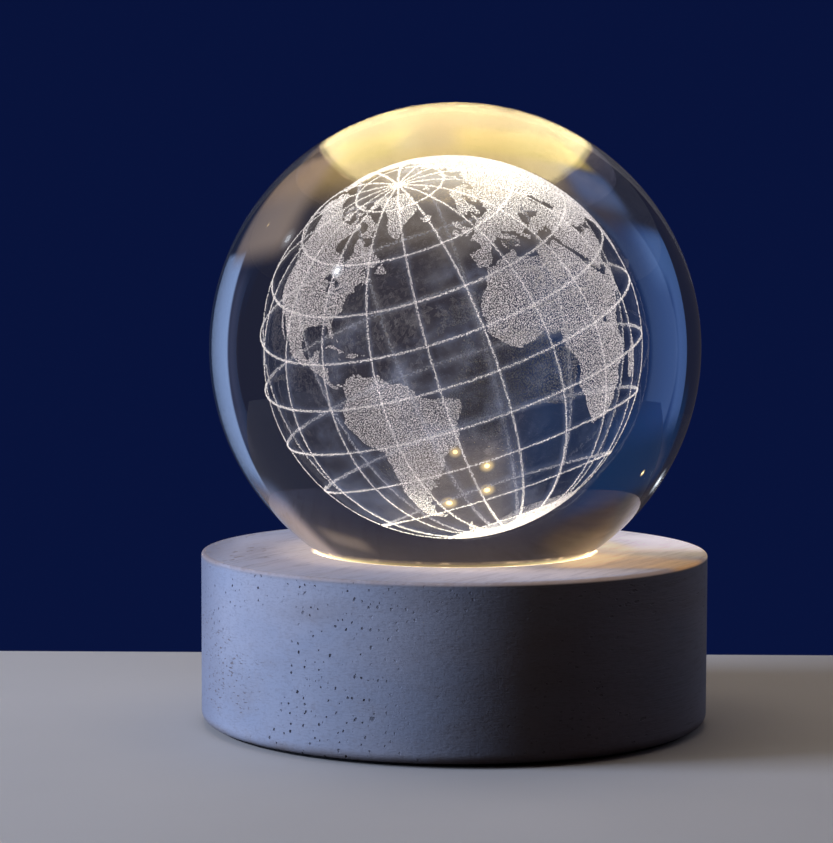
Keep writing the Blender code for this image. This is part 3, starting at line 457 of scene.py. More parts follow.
class Finish(Nodes):
    """The nodes of a material with one Principled shader. What is the same all over is set on it at once."""

    def __init__(self, name, constants=None):
        self.material = bpy.data.materials.new(name)
        self.material.use_nodes = True
        super().__init__(self.material.node_tree)
        self.shade(constants or {})

    def shade(self, sockets):
        """Feeds sockets of the shader, and returns the material."""
        shader = self.tree.nodes["Principled BSDF"]
        for name, value in sockets.items():
            self.feed(shader.inputs[name], value)
        return self.material


def clear_glass():
    """Polished optical glass, with the faintest polishing haze in its gloss."""
    n = Finish("polished_glass", {"Base Color": (1, 1, 1), "Transmission Weight": 1, "IOR": GLASS_IOR})
    return n.shade({"Roughness": n.step(n.noise(n.place(), 90, 3), 0.62, 0.9, 0, 0.012)})


def laser_mark(name, tint, level, end_level):
    """Crushed glass of one laser mark, with a painted glow for the light of the LEDs it scatters: most at
    foot and crown.
    """
    n = Finish(name, {"Base Color": (0.12, 0.12, 0.13), "Roughness": 0.9, "Emission Strength": 1})
    z = n.parts(n.place())[2]
    high = n.step(z, 0.60 * GLOBE_RADIUS, 1.00 * GLOBE_RADIUS)
    low = n.step(z * -1, 0.76 * GLOBE_RADIUS, 0.97 * GLOBE_RADIUS)
    ends = n.maths("MAXIMUM", high, low)
    patchy = n.step(n.noise(n.place(), 160, 2), 0.3, 0.7, 0.85, 1.15)
    spark = n.step(n.noise(n.place(), 9000, 1), 0.25, 0.75, 0.35, 1.65)
    strength = (level + ends * (end_level - level)) * patchy * spark
    return n.shade({"Emission Color": n.mix(ends, tint, (1.0, 0.93, 0.80)) * strength})


def scattered_haze():
    """A painted glow on a sphere, for light strayed between the marks of the globe: faint clouds, and a soft
    band along each line.
    """
    black = {"Base Color": (0.01, 0.01, 0.01), "Roughness": 1, "Specular IOR Level": 0}
    n = Finish("scattered_haze", {**black, "Emission Strength": 1})
    place = n.place()
    zero, ninety, up = (n.measure("DOT_PRODUCT", place, tuple(axis)) for axis in GLOBE_TURN.T)
    latitude = n.maths("ARCSINE", up / (GLOBE_RADIUS - HAZE_DEPTH))
    longitude = n.maths("ARCTAN2", ninety, zero)
    turns = longitude / radians(360 / MERIDIANS) + (MERIDIANS + 0.5 - FIRST_MERIDIAN * MERIDIANS / 360)
    beside = (n.maths("FRACT", turns) - 0.5) * n.maths("COSINE", latitude)
    beside = n.maths("ABSOLUTE", beside) * radians(360 / MERIDIANS)
    band = n.step(beside, *HAZE_BAND, 1, 0)
    for circle in PARALLELS:
        off = n.maths("ABSOLUTE", latitude - radians(circle))
        band = n.maths("MAXIMUM", band, n.step(off, *HAZE_BAND, 1, 0))

    clouds = n.step(n.noise(place, 240, 4, 0.6), 0.47, 0.72)
    wisps = n.step(n.noise(place, 700, 3, 0.6), 0.45, 0.75)
    x, y, z = n.parts(place)
    crown = n.step(z, 0.81 * GLOBE_RADIUS, 1.00 * GLOBE_RADIUS)
    foot = n.step(z, -0.66 * GLOBE_RADIUS, -0.40 * GLOBE_RADIUS, 1, 0) * n.step(y, -0.002, 0.002, 1, 0)
    foot = foot * n.step(x, -0.0075, -0.0025) * n.step(x, 0.0035, 0.0075, 1, 0)
    inward = n.step(x, -0.0125, -0.0090, 0.35, 1) * n.step(x, 0.0055, 0.0095, 1, 0.35)
    stray = (clouds * 0.065 + wisps * clouds * 0.07) * inward
    blue_or_pale = n.mix(n.step(z + y * 0.5, 0, 0.012), (0.56, 0.65, 0.98), (0.74, 0.68, 0.66))
    golden = n.mix(n.step(z, 0.88 * GLOBE_RADIUS, 0.98 * GLOBE_RADIUS), (1.0, 0.76, 0.46), (1.0, 0.90, 0.76))
    return n.shade({
        "Alpha": 0.003 + stray + band * 0.050 + crown * 0.52 + foot * 0.10,
        "Emission Color": n.lay_over(blue_or_pale, [(foot, (0.96, 0.80, 0.74)), (crown, golden)]),
    })


def light_on_top(n, x, y, radius, grain):
    """Light of the LEDs on the top of the wood: a line round the seat, and what the ball throws past it.

    Places are in metres from the axis, x to the right and y to the back.
    """
    line = n.step(radius, SEAT_EDGE + 0.00005, SEAT_EDGE + 0.00045, 1, 0) ** 1.5
    sparkle = n.step(n.noise(n.place(), 420, 1), 0.52, 0.66, 0.6, 2.2)
    near = n.step(radius, SEAT_EDGE, 0.0235, 1, 0)
    front = n.step(y, -0.0200, -0.0165, 1, 0) * n.step(radius, 0.0285, 0.0305, 1, 0.5)
    beside = n.step(radius, 0.0205, 0.0250, 1, 0) * n.step(x, 0.004, 0.012, 1, 0)
    wedge = n.step(x, 0.009, 0.014) * n.step(y, -0.0190, -0.0160)
    wedge = wedge * n.step(y + (x - 0.0215) * 0.5, -0.0085, -0.0020, 1, 0)
    streaks = n.step(grain, 0.85, 1.15, 1.15, 0.80)
    gap = n.step(x, 0.0190, 0.0225) * n.step(y, -0.0090, -0.0045) * n.step(y, 0.000, 0.006, 1, 0)
    behind = n.step(x, 0.011, 0.019) * n.step(y, -0.004, 0.006) * n.step(y, 0.012, 0.018, 1, 0.75)
    further = n.step(radius, 0.0195, 0.0230, 0.62, 0.80) + n.step(radius, 0.022, 0.029) * 0.35
    paler = n.mix(n.step(radius, 0.0205, 0.0235), (1.0, 0.86, 0.50), (1.0, 0.90, 0.89))
    warm_near = n.step(radius, 0.0200, 0.0228, 1, 0) * n.step(x, 0.011, 0.016) * n.step(y, 0.005, 0.011, 1, 0)
    lights = (
        (n.step(radius, 0.0250, 0.0300, 0.37, 0.24), (1.0, 0.88, 0.95)),
        (front * n.step(x, -0.012, 0.004) * 0.26, (1.0, 0.72, 0.42)),
        (front * n.step(x, 0.002, 0.016) * 0.12, (1.0, 0.75, 0.50)),
        (beside * 0.24, (1.0, 0.84, 0.80)),
        (near * n.step(x, 0.004, 0.012, 0.30, 0.16), (1.0, 0.78, 0.42)),
        (wedge * (0.50 + near * 0.25) * streaks, (1.0, 0.63, 0.20)),
        # painted shade of the ball against the key: less blue and green in the wedge
        (wedge * -1, (0, 0.09, 0.16)),
        (gap * 0.40, (1.0, 0.72, 0.22)),
        (behind * further, paler),
        (warm_near * 0.40, (1.0, 0.66, 0.22)),
        (line * sparkle * n.step(x, -0.0165, -0.0080, 2.2, 4.2), (1.0, 0.70, 0.36)),
    )
    return sum(level * colour for level, colour in lights)


def light_in_pocket(n, x, y, z, radius):
    """Light of the LEDs on the wall of the pocket: most by the board, and least in front."""
    ahead = n.step((y * -0.995 - x * 0.10) / radius, 0.77, 0.98)
    by_height = n.step(z, BOARD_TOP, BOARD_TOP + 0.0060, 1.75, 1)
    by_height = by_height + n.step(z, WOOD_TOP - 0.0050, WOOD_TOP - 0.0006, 0, 0.25)
    rim = n.step(z, WOOD_TOP - 0.0007, WOOD_TOP - 0.0002, 1, 0.4)
    return n.mix(ahead, WELL_LIGHT, WELL_FRONT) * by_height * rim


def whitewashed_wood():
    """Open-pored wood under a thin chalky wash: vessels run along the grain, and show as dots at its ends."""
    n = Finish("whitewashed_wood_grain", {"Specular IOR Level": 0.35, "Emission Strength": 1})
    x, y, z = n.parts(n.place())
    along = x * sin(GRAIN_ANGLE) - y * cos(GRAIN_ANGLE)
    across = x * cos(GRAIN_ANGLE) + y * sin(GRAIN_ANGLE)

    def marks(per_across, per_z, per_along, detail=1, roughness=0.5):
        """Noise with so many marks a metre across the grain, up the wood and along the grain."""
        return n.noise(n.join(across * per_across, z * per_z, along * per_along), 1, detail, roughness)

    wander = marks(30, 30, 30)
    ragged = marks(2600, 2600, 900, 2)
    fibres = marks(900, 1300, 45, 3, 0.6)
    bands = n.noise(n.join(across * 70, z * 210 + wander * 2.5, along * 9), 1, 3)
    wash = marks(160, 160, 110, 4, 0.6)
    cloud = marks(60, 90, 40, 3)
    ticks = marks(3000, 1900, 500, 2, 0.6)
    hairs = marks(1500, 5200, 170, 2, 0.6)
    dashes = marks(1500, 3600, 420, 2)

    def vessels(pitch, crowding, size, share, breaks):
        """Tubes along the grain: their pitch across it and up the wood, and where and how many are open."""
        cells = n.join(across / pitch[0] + wander * 2 + ragged * 0.35, z / pitch[1] + ragged * 0.35, 0)
        near, kind = (
            n.add("ShaderNodeTexVoronoi", {"Vector": cells, "Scale": 1}, output=one, voronoi_dimensions="2D")
            for one in ("Distance", "Color")
        )
        chance, width = n.parts(kind)[:2]
        crowded = n.step(marks(75, 55, 30), *crowding)
        broken = n.step(marks(400, 400, breaks), 0.44, 0.50)
        there = n.step(chance, 1 - share, 1 - share + 0.03) * crowded * broken
        return (1 - n.step(near / (size * (0.45 + width)), 0.60, 1.0)) * there

    upward = n.step(z, WOOD_TOP - 0.0005, WOOD_TOP - 0.0002)
    small = vessels(pitch=(0.00105, 0.00115), crowding=(0.38, 0.52), size=0.128, share=0.72, breaks=130)
    large = vessels(pitch=(0.0021, 0.0024), crowding=(0.47, 0.57), size=0.080, share=0.5, breaks=90)
    pore = n.maths("MAXIMUM", small, large) * (1 - upward * 0.72)
    pore = pore * n.step(x, -0.014, -0.005, 1, 0.25) * n.step(x, -0.0295, -0.0255, 0.25, 1)
    fine = vessels(pitch=(0.00062, 0.00080), crowding=(0.38, 0.62), size=0.10, share=0.32, breaks=260)
    fine_pore = fine * 0.5
    dash = n.step(dashes, 0.61, 0.69) * n.step(bands + wash * 0.4, 0.66, 0.80)
    dash = dash * n.step(x, -0.0265, -0.0185, 1, 0.2)

    radius = n.measure("LENGTH", n.join(x, y, 0))
    inset = BASE_RADIUS - radius
    rubbed = n.step(wash + fibres * 0.35, 0.42, 0.80)
    edge_wear = (1 - n.step(inset + (WOOD_TOP - z), 0.0001, 0.0008)) * (rubbed * 0.6 + 0.4)
    foot_wear = (1 - n.step(inset + (z - WOOD_BOTTOM), 0.0003, 0.0016)) * rubbed
    wear = n.maths("MAXIMUM", edge_wear, foot_wear)
    # painted shade: darker towards the far left of the side, and more so higher up
    left_edge_shade = n.step(x, -0.0308, -0.0260, 0.65, 0) * n.step(z, 0.010, 0.019, 1, 1.4)
    bare_wood = n.step(bands, 0.46, 0.74) * 0.40 + n.step(fibres, 0.52, 0.80) * 0.30
    chalk = n.mix(n.step(cloud, 0.35, 0.68), (0.415, 0.428, 0.485), (0.475, 0.458, 0.488))
    colour = n.lay_over(chalk, [
        (n.step(wash, 0.25, 0.75) * 0.30, (0.55, 0.53, 0.545)),
        (bare_wood, (0.37, 0.325, 0.315)),
        (n.step(hairs, 0.50, 0.68) * 0.38, (0.31, 0.295, 0.315)),
        # painted shade at the far left of the side
        (left_edge_shade, (0.25, 0.245, 0.28)),
        (n.step(ticks, 0.52, 0.72) * 0.24, (0.29, 0.275, 0.31)),
        (dash * 0.75, (0.23, 0.17, 0.14)),
        (wear * 0.65, (0.30, 0.215, 0.155)),
        (fine_pore, (0.20, 0.165, 0.165)),
        (pore * 0.92, (0.040, 0.030, 0.034)),
    ])
    raised = fibres * 0.20 + wash * 0.2 + ticks * 0.18 + hairs * 0.26
    sunk = fine_pore * 0.8 + pore * 2.4 + wear * 0.3 + dash * 0.5
    inner = n.step(radius, SEAT_EDGE - 0.0002, SEAT_EDGE, 1, 0)
    inner = inner * n.step(z, SHOULDER_Z - 0.0001, SHOULDER_Z + 0.0002)
    on_top = light_on_top(n, x, y, radius, fibres + bands) * colour * (upward * (1 - inner))
    return n.shade({
        "Base Color": colour,
        "Roughness": n.step(wash, 0.2, 0.8, 0.56, 0.72) + pore * 0.2,
        "Normal": n.bump(raised - sunk, 0.00009),
        "Emission Color": on_top + light_in_pocket(n, x, y, z, radius) * inner,
    })


def darker(colour, share):
    return tuple(part * share for part in colour)


def moulded_plastic(name, colour, grain_scale, grain_depth, roughness):
    """A moulded or printed surface with a fine spark-eroded grain and rubbed high spots."""
    n = Finish(name)
    grain = n.noise(n.place(), grain_scale, 4, 0.6)
    blotch = n.noise(n.place(), grain_scale / 9, 2)
    return n.shade({
        "Base Color": n.mix(n.step(blotch, 0.3, 0.7), darker(colour, 0.78), colour),
        "Roughness": n.step(blotch, 0.3, 0.7, roughness - 0.06, roughness + 0.06),
        "Normal": n.bump(grain, grain_depth),
    })


def metal(name, colour, scale, roughness):
    """Plated metal with drawing lines and a cloudy gloss."""
    n = Finish(name, {"Metallic": 1})
    x, y, z = n.parts(n.place())
    lines = n.noise(n.join(x * scale, y * scale, z * scale * 6), 1, 3)
    cloud = n.noise(n.place(), scale / 5, 2)
    return n.shade({
        "Base Color": n.mix(n.step(cloud, 0.3, 0.75), colour, darker(colour, 0.7)),
        "Roughness": n.step(lines, 0.3, 0.7, roughness - 0.08, roughness + 0.10),
        "Normal": n.bump(lines, 0.00001),
    })


def closed_cell_foam():
    n = Finish("closed_cell_foam", {"Specular IOR Level": 0.25})
    cells = n.add("ShaderNodeTexVoronoi", {"Vector": n.place(), "Scale": 2600}, output="Distance")
    blotch = n.noise(n.place(), 120, 2)
    return n.shade({
        "Base Color": n.mix(n.step(cells, 0.1, 0.7), (0.012, 0.012, 0.013), (0.035, 0.034, 0.034)),
        "Roughness": n.step(blotch, 0.3, 0.7, 0.85, 0.97),
        "Normal": n.bump(cells, 0.00006),
    })


def solder_mask():
    """White solder mask, lit by the LEDs: the copper rings under it stand a little proud."""
    n = Finish("white_solder_mask", {"Coat Roughness": 0.15, "Emission Strength": 0.5})
    x, y, z = n.parts(n.place())
    radius = n.measure("LENGTH", n.join(x, y, 0))
    copper = sum(
        n.step(radius, low, low + CONDUCTOR_EDGE) * (1 - n.step(radius, high, high + CONDUCTOR_EDGE))
        for low, high in RING_CONDUCTORS
    )
    weave = n.noise(n.join(x * 2500, y * 2500, z), 1, 2)
    lit = n.step(radius, 0.0030, 0.0100, 0.35, 1) * n.step(radius, 0.0120, 0.0175, 1, 0.35)
    lit = lit * n.step(z, BOARD_TOP - 0.0002, BOARD_TOP - 0.0001)
    return n.shade({
        "Base Color": n.mix(copper, (0.78, 0.78, 0.76), (0.70, 0.68, 0.60)),
        "Roughness": n.step(weave, 0.3, 0.7, 0.36, 0.50),
        "Coat Weight": n.step(weave, 0.2, 0.8, 0.2, 0.4),
        "Normal": n.bump(copper + weave * 0.15, 0.00003),
        "Emission Color": n.mix(lit, (1.0, 0.70, 0.32), (1.0, 0.80, 0.46)) * lit,
    })


def lit_phosphor():
    """Warm white phosphor in a fine grain."""
    n = Finish("lit_phosphor", {"Roughness": 0.6, "Emission Strength": 12})
    grain = n.noise(n.place(), 2400, 2)
    return n.shade({
        "Base Color": n.mix(grain, (0.85, 0.58, 0.16), (0.95, 0.72, 0.28)),
        "Emission Color": n.mix(grain, (1.0, 0.62, 0.26), (1.0, 0.74, 0.40)),
    })


FINISHES = {
    "clear_glass": clear_glass(),
    "whitewashed_wood": whitewashed_wood(),
    "black_foam": closed_cell_foam(),
    "black_plastic": moulded_plastic("black_moulding", (0.022, 0.022, 0.024), 2200, 0.00002, 0.42),
    "zinc_plated_steel": metal("zinc_plate", (0.62, 0.62, 0.60), 900, 0.30),
    "white_board": solder_mask(),
    "led_body": moulded_plastic("white_led_moulding", (0.85, 0.84, 0.80), 3500, 0.00001, 0.38),
    "led_phosphor": lit_phosphor(),
    "resistor_ceramic": moulded_plastic("fired_resistor_glaze", (0.022, 0.022, 0.024), 3500, 0.00001, 0.34),
    "tinned_brass": metal("tinned_brass_strip", (0.75, 0.68, 0.50), 1200, 0.26),
    "red_lead": moulded_plastic("red_wire_sleeve", (0.55, 0.02, 0.02), 2600, 0.00001, 0.40),
    "black_lead": moulded_plastic("black_wire_sleeve", (0.016, 0.016, 0.018), 2600, 0.00001, 0.40),
}


def to_scene(name, data, place=(0, 0, 0)):
    made = bpy.data.objects.new(name, data)
    made.location = place
    bpy.context.scene.collection.objects.link(made)
    return made


def new_mesh(name, points, faces):
    mesh = bpy.data.meshes.new(name)
    mesh.from_pydata(points, [], faces)
    mesh.update()
    return mesh


def close_up(mesh, joined=0, rounded=0):
    """Joins points closer than joined, turns the faces outward and rounds the edges of a closed mesh."""
    shape = bmesh.new()
    shape.from_mesh(mesh)
    if joined:
        bmesh.ops.remove_doubles(shape, verts=shape.verts, dist=joined)
    bmesh.ops.recalc_face_normals(shape, faces=shape.faces)
    if rounded:
        edges = list(shape.edges)
        bmesh.ops.bevel(shape, geom=edges, offset=rounded, segments=3, affect="EDGES", profile=0.5)
    shape.to_mesh(mesh)
    shape.free()


def new_piece(name, points, faces, body, materials, place=(0, 0, 0)):
    """A mesh piece at a place in the frame, which rides on a CAD body."""
    piece = to_scene(name, new_mesh(name, points, faces), place)
    for one in materials:
        piece.data.materials.append(one)
    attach(piece, body)
    return piece


def even_ball(name, radius, cells, finish, place):
    """A ball as six curved patches of even cells, so that no pole disturbs what is seen through it."""
    points = []
    faces = []
    turns = [Matrix.Rotation(k * pi / 2, 3, "Z") @ Matrix.Rotation(pi / 2, 3, "X") for k in range(4)]
    turns += [Matrix.Identity(3), Matrix.Rotation(pi, 3, "X")]
    for turned in turns:
        first = len(points)
        for i in range(cells + 1):
            for j in range(cells + 1):
                u = tan((2 * i / cells - 1) * pi / 4)
                v = tan((2 * j / cells - 1) * pi / 4)
                points.append(turned @ Vector((u, v, 1)).normalized() * radius)
        for i in range(cells):
            for j in range(cells):
                a = first + i * (cells + 1) + j
                b = a + cells + 1
                faces.append((a, b, b + 1, a + 1))
    ball = new_piece(name, points, faces, "ball", [finish], place)
    close_up(ball.data, joined=1e-7)
    ball.data.shade_smooth()
    ball.data.normals_split_custom_set_from_vertices([v.co.normalized() for v in ball.data.vertices])
    return ball


def make_ball():
    """The glass ball, with a sphere of painted glow for the haze of the engraved globe inside it."""
    ball = even_ball("glass_ball", BALL_RADIUS, BALL_CELLS, FINISHES["clear_glass"], BALL_CENTRE)
    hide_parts("crystal_ball")
    even_ball("painted_globe_glow", GLOBE_RADIUS - HAZE_DEPTH, HAZE_CELLS, scattered_haze(), GLOBE_CENTRE)


def on_globe(longitude, latitude):
    """Unit vectors of places on the engraved globe, in the frame."""
    lon, lat = np.radians(longitude), np.radians(latitude)
    own = np.stack([np.cos(lat) * np.cos(lon), np.cos(lat) * np.sin(lon), np.sin(lat)], axis=-1)
    return own @ GLOBE_TURN.T


def inside(outline, longitude, latitude):
    """Which places lie inside an outline, by the count of its edges to the east of each."""
    found = np.zeros(len(longitude), bool)
    for (x0, y0), (x1, y1) in zip(outline, outline[1:] + outline[:1]):
        if y0 == y1:
            continue
        crosses = (latitude < y0) != (latitude < y1)
        found ^= crosses & (longitude < x0 + (latitude - y0) / (y1 - y0) * (x1 - x0))
    return found


def on_land(longitude, latitude):
    land = np.zeros(len(longitude), bool)
    for outline in COASTS.values():
        land |= inside(outline, longitude, latitude) | inside(outline, longitude + 360, latitude)
    for outline in WATERS.values():
        land &= ~inside(outline, longitude, latitude)
    return land


def land_places(random):
    """Evenly strewn places on land, west and east of the split, about one pitch apart, with random jitter."""
    count = int(4 * pi * GLOBE_RADIUS**2 / LAND_PITCH**2)
    number = np.arange(count) + 0.5
    latitude = np.degrees(np.arcsin(1 - 2 * number / count))
    longitude = (number * SPIRAL_TURN) % 360 - 180
    jitter = np.degrees(LAND_PITCH / GLOBE_RADIUS) * LAND_JITTER
    latitude = np.clip(latitude + random.uniform(-jitter, jitter, count), -90, 90)
    stretch = np.maximum(np.cos(np.radians(latitude)), 0.02)
    longitude = longitude + random.uniform(-jitter, jitter, count) / stretch
    longitude = (longitude + 180) % 360 - 180
    keep = on_land(longitude, latitude)
    longitude, latitude = longitude[keep], latitude[keep]
    west = longitude < LAND_SPLIT
    return on_globe(longitude[west], latitude[west]), on_globe(longitude[~west], latitude[~west])


def line_places(random, circles):
    """Places strewn along circles of the globe, within the width of an engraved line."""
    found = []
    for make, length in circles:
        count = int(length * GLOBE_RADIUS / LINE_PITCH)
        found.append(make((np.arange(count) + 0.5) / count))
    places = np.concatenate(found)
    places = places + random.uniform(-1, 1, places.shape) * LINE_SPREAD / GLOBE_RADIUS
    return places / np.linalg.norm(places, axis=1, keepdims=True)


def meridian(longitude):
    """What gives the places of a half circle from pole to pole, and its length on a globe of radius one."""
    return lambda share: on_globe(np.full(len(share), float(longitude)), share * 180 - 90), pi


def parallel(latitude):
    """What gives the places of a circle round the globe, and its length on a globe of radius one."""
    length = 2 * pi * cos(radians(latitude))
    return lambda share: on_globe(share * 360, np.full(len(share), float(latitude))), length


def engrave(name, random, places, size, finishes):
    """Laser marks at these places: each a tiny crushed cone, with a painted glow, bright outside and dim to
    the inside.
    """
    count = len(places)
    size = size * random.uniform(0.7, 1.25, (count, 1))
    centres = places * (GLOBE_RADIUS + random.uniform(-MARK_DEPTH, MARK_DEPTH, (count, 1)))
    aside = np.cross(places, random.normal(size=(count, 3)))
    aside /= np.linalg.norm(aside, axis=1, keepdims=True)
    third = np.cross(places, aside)
    corners = [
        centres + size * (aside * cos(k * 2 * pi / 3) + third * sin(k * 2 * pi / 3)) for k in range(3)
    ]
    corners.append(centres + size * places)
    points = np.stack(corners, axis=1).reshape(-1, 3)
    pattern = np.array([(0, 2, 1), (0, 1, 3), (1, 2, 3), (2, 0, 3)])
    faces = (np.arange(count)[:, None, None] * 4 + pattern).reshape(-1, 3)
    piece = new_piece(name, points, faces, "ball", finishes, GLOBE_CENTRE)
    piece.data.polygons.foreach_set("material_index", np.tile([1, 0, 0, 0], count))


def make_globe():
    """The land as dots and the net as lines, all of them from one row of random draws."""
    random = np.random.default_rng(RANDOM_SEED)
    # Each kind of mark has two finishes: a bright painted glow for the outer faces, a dim bluish one for the
    # inner face
    land = [
        laser_mark("land_mark_outside", (1.0, 0.91, 0.93), 0.56, 1.45),
        laser_mark("land_mark_inside", (0.62, 0.68, 0.95), 0.022, 0.4),
    ]
    line = [
        laser_mark("line_mark_outside", (1.0, 0.92, 0.91), 0.78, 1.8),
        laser_mark("line_mark_inside", (0.66, 0.72, 0.98), 0.10, 0.6),
    ]
    west, east = land_places(random)
    engrave("engraved_land_west", random, west, LAND_MARK, land)
    engrave("engraved_land_east", random, east, LAND_MARK, land)
    meridians = [meridian(FIRST_MERIDIAN + k * 360 / MERIDIANS) for k in range(MERIDIANS)]
    engrave("engraved_meridians", random, line_places(random, meridians), LINE_MARK, line)
    parallels = [parallel(latitude) for latitude in PARALLELS]
    engrave("engraved_parallels", random, line_places(random, parallels), LINE_MARK, line)


def arc(radius, height, edge, first):
    """A quarter circle of the turned section, as (radius, height), from first degrees down by 90."""
    angles = [radians(first - 90 * k / EDGE_STEPS) for k in range(EDGE_STEPS + 1)]
    return [(radius + edge * cos(angle), height + edge * sin(angle)) for angle in angles]


def base_section():
    """The turned section: outside, foot, cover ledge, cavity, shoulder, pocket and ball seat."""
    return (
        arc(BASE_RADIUS - TOP_EDGE, WOOD_TOP - TOP_EDGE, TOP_EDGE, 90)
        + arc(BASE_RADIUS - BOTTOM_EDGE, WOOD_BOTTOM + BOTTOM_EDGE, BOTTOM_EDGE, 0)
        + [
            (RECESS_RADIUS, WOOD_BOTTOM),
            (RECESS_RADIUS, LEDGE_Z),
            (CAVITY_RADIUS + BORE_CHAMFER, LEDGE_Z),
            (CAVITY_RADIUS, LEDGE_Z + BORE_CHAMFER),
            (CAVITY_RADIUS, SHOULDER_Z),
            (POCKET_RADIUS + BORE_CHAMFER, SHOULDER_Z),
            (POCKET_RADIUS, SHOULDER_Z + BORE_CHAMFER),
            (POCKET_RADIUS, WOOD_TOP - SEAT_WIDTH * SEAT_SLOPE),
            (SEAT_EDGE, WOOD_TOP),
        ]
    )


def cut(piece, name, points, faces):
    """Takes a closed tool shape away from the piece."""
    tool = to_scene(name, new_mesh(name, points, faces))
    close_up(tool.data)
    modifier = piece.modifiers.new(name, "BOOLEAN")
    modifier.operation = "DIFFERENCE"
    modifier.solver = "EXACT"
    modifier.object = tool
    bpy.context.view_layer.update()
    graph = bpy.context.evaluated_depsgraph_get()
    result = bpy.data.meshes.new_from_object(piece.evaluated_get(graph))
    piece.modifiers.clear()
    piece.data = result
    bpy.data.objects.remove(tool)


def rod(start, end, radius, sides=48):
    """Points and faces of a closed round bar."""
    axis = (Vector(end) - Vector(start)).normalized()
    aside = axis.orthogonal().normalized()
    third = axis.cross(aside)
    points = [
        Vector(place) + radius * (aside * cos(2 * pi * k / sides) + third * sin(2 * pi * k / sides))
        for place in (start, end)
        for k in range(sides)
    ]
    faces = [tuple(range(sides)), tuple(range(sides, 2 * sides))]
    faces += [(k, (k + 1) % sides, sides + (k + 1) % sides, sides + k) for k in range(sides)]
    return points, faces


def block(low, high):
    """Points and faces of a closed block."""
    points = [(x, y, z) for x in (low[0], high[0]) for y in (low[1], high[1]) for z in (low[2], high[2])]
    faces = [(0, 1, 3, 2), (4, 6, 7, 5), (0, 4, 5, 1), (2, 3, 7, 6), (0, 2, 6, 4), (1, 5, 7, 3)]
    return points, faces


def make_base():
    """The turned block with its socket slot and hole, in finer steps than the solid."""
    section = base_section()
    points = []
    faces = []
    for k in range(WOOD_SEGMENTS):
        turn = 2 * pi * k / WOOD_SEGMENTS
        points += [(r * cos(turn), r * sin(turn), z) for r, z in section]
    size = len(section)
    for k in range(WOOD_SEGMENTS):
        for j in range(size):
            a = k * size + j
            b = k * size + (j + 1) % size
            c = (k + 1) % WOOD_SEGMENTS * size + (j + 1) % size
            d = (k + 1) % WOOD_SEGMENTS * size + j
            faces.append((a, b, c, d))
    wood = [FINISHES["whitewashed_wood"]]
    base = new_piece("turned_base", points, faces, "base", wood)
    close_up(base.data)
    wall_y = BASE_RADIUS - SOCKET_WALL
    slot = block(
        (-SOCKET_SLOT_HALF, CAVITY_RADIUS - 2 * CUT_SPARE, WOOD_BOTTOM - CUT_SPARE),
        (SOCKET_SLOT_HALF, wall_y, SOCKET_SLOT_TOP),
    )
    cut(base, "socket_slot", *slot)
    hole_start = (0, wall_y - CUT_SPARE, SOCKET_AXIS_Z)
    hole_end = (0, BASE_RADIUS + CUT_SPARE, SOCKET_AXIS_Z)
    cut(base, "socket_hole", *rod(hole_start, hole_end, SOCKET_HOLE_RADIUS))
    base.data.shade_smooth()
    base.data.set_sharp_from_angle(angle=SHARP_ANGLE)
    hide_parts("wood_base")


def dress_nodes():
    """The inner pieces keep their solids and get their finishes."""
    slots = {row["node"]: row["material_slot"] for row in frame["record"]["subparts"]}
    for name, node in nodes.items():
        node.data.materials.clear()
        node.data.materials.append(FINISHES[slots[name]])


def pale_table():
    """Pale in the picture, darker in gloss, and dark to what stands on it, so that it sends up no light."""
    n = Finish("pale_table", {"Specular IOR Level": 0.2, "Roughness": 0.7})
    colour = (0.68, 0.60, 0.51)
    cloud = n.noise(n.place(), 18, 3)
    seen = n.mix(n.step(cloud, 0.3, 0.7), darker(colour, 0.95), colour) * (1 - n.ray("Glossy") * 0.65)
    return n.shade({"Base Color": n.mix(n.ray("Diffuse"), seen, (0.050, 0.034, 0.028))})


def make_floor():
    """A pale table top whose far edge lies where the photographed one does."""
    floor = to_scene("table_top", new_mesh("table_top", *block(TABLE_LOW, TABLE_HIGH)))
    close_up(floor.data, rounded=TABLE_EDGE)
    floor.data.materials.append(pale_table())


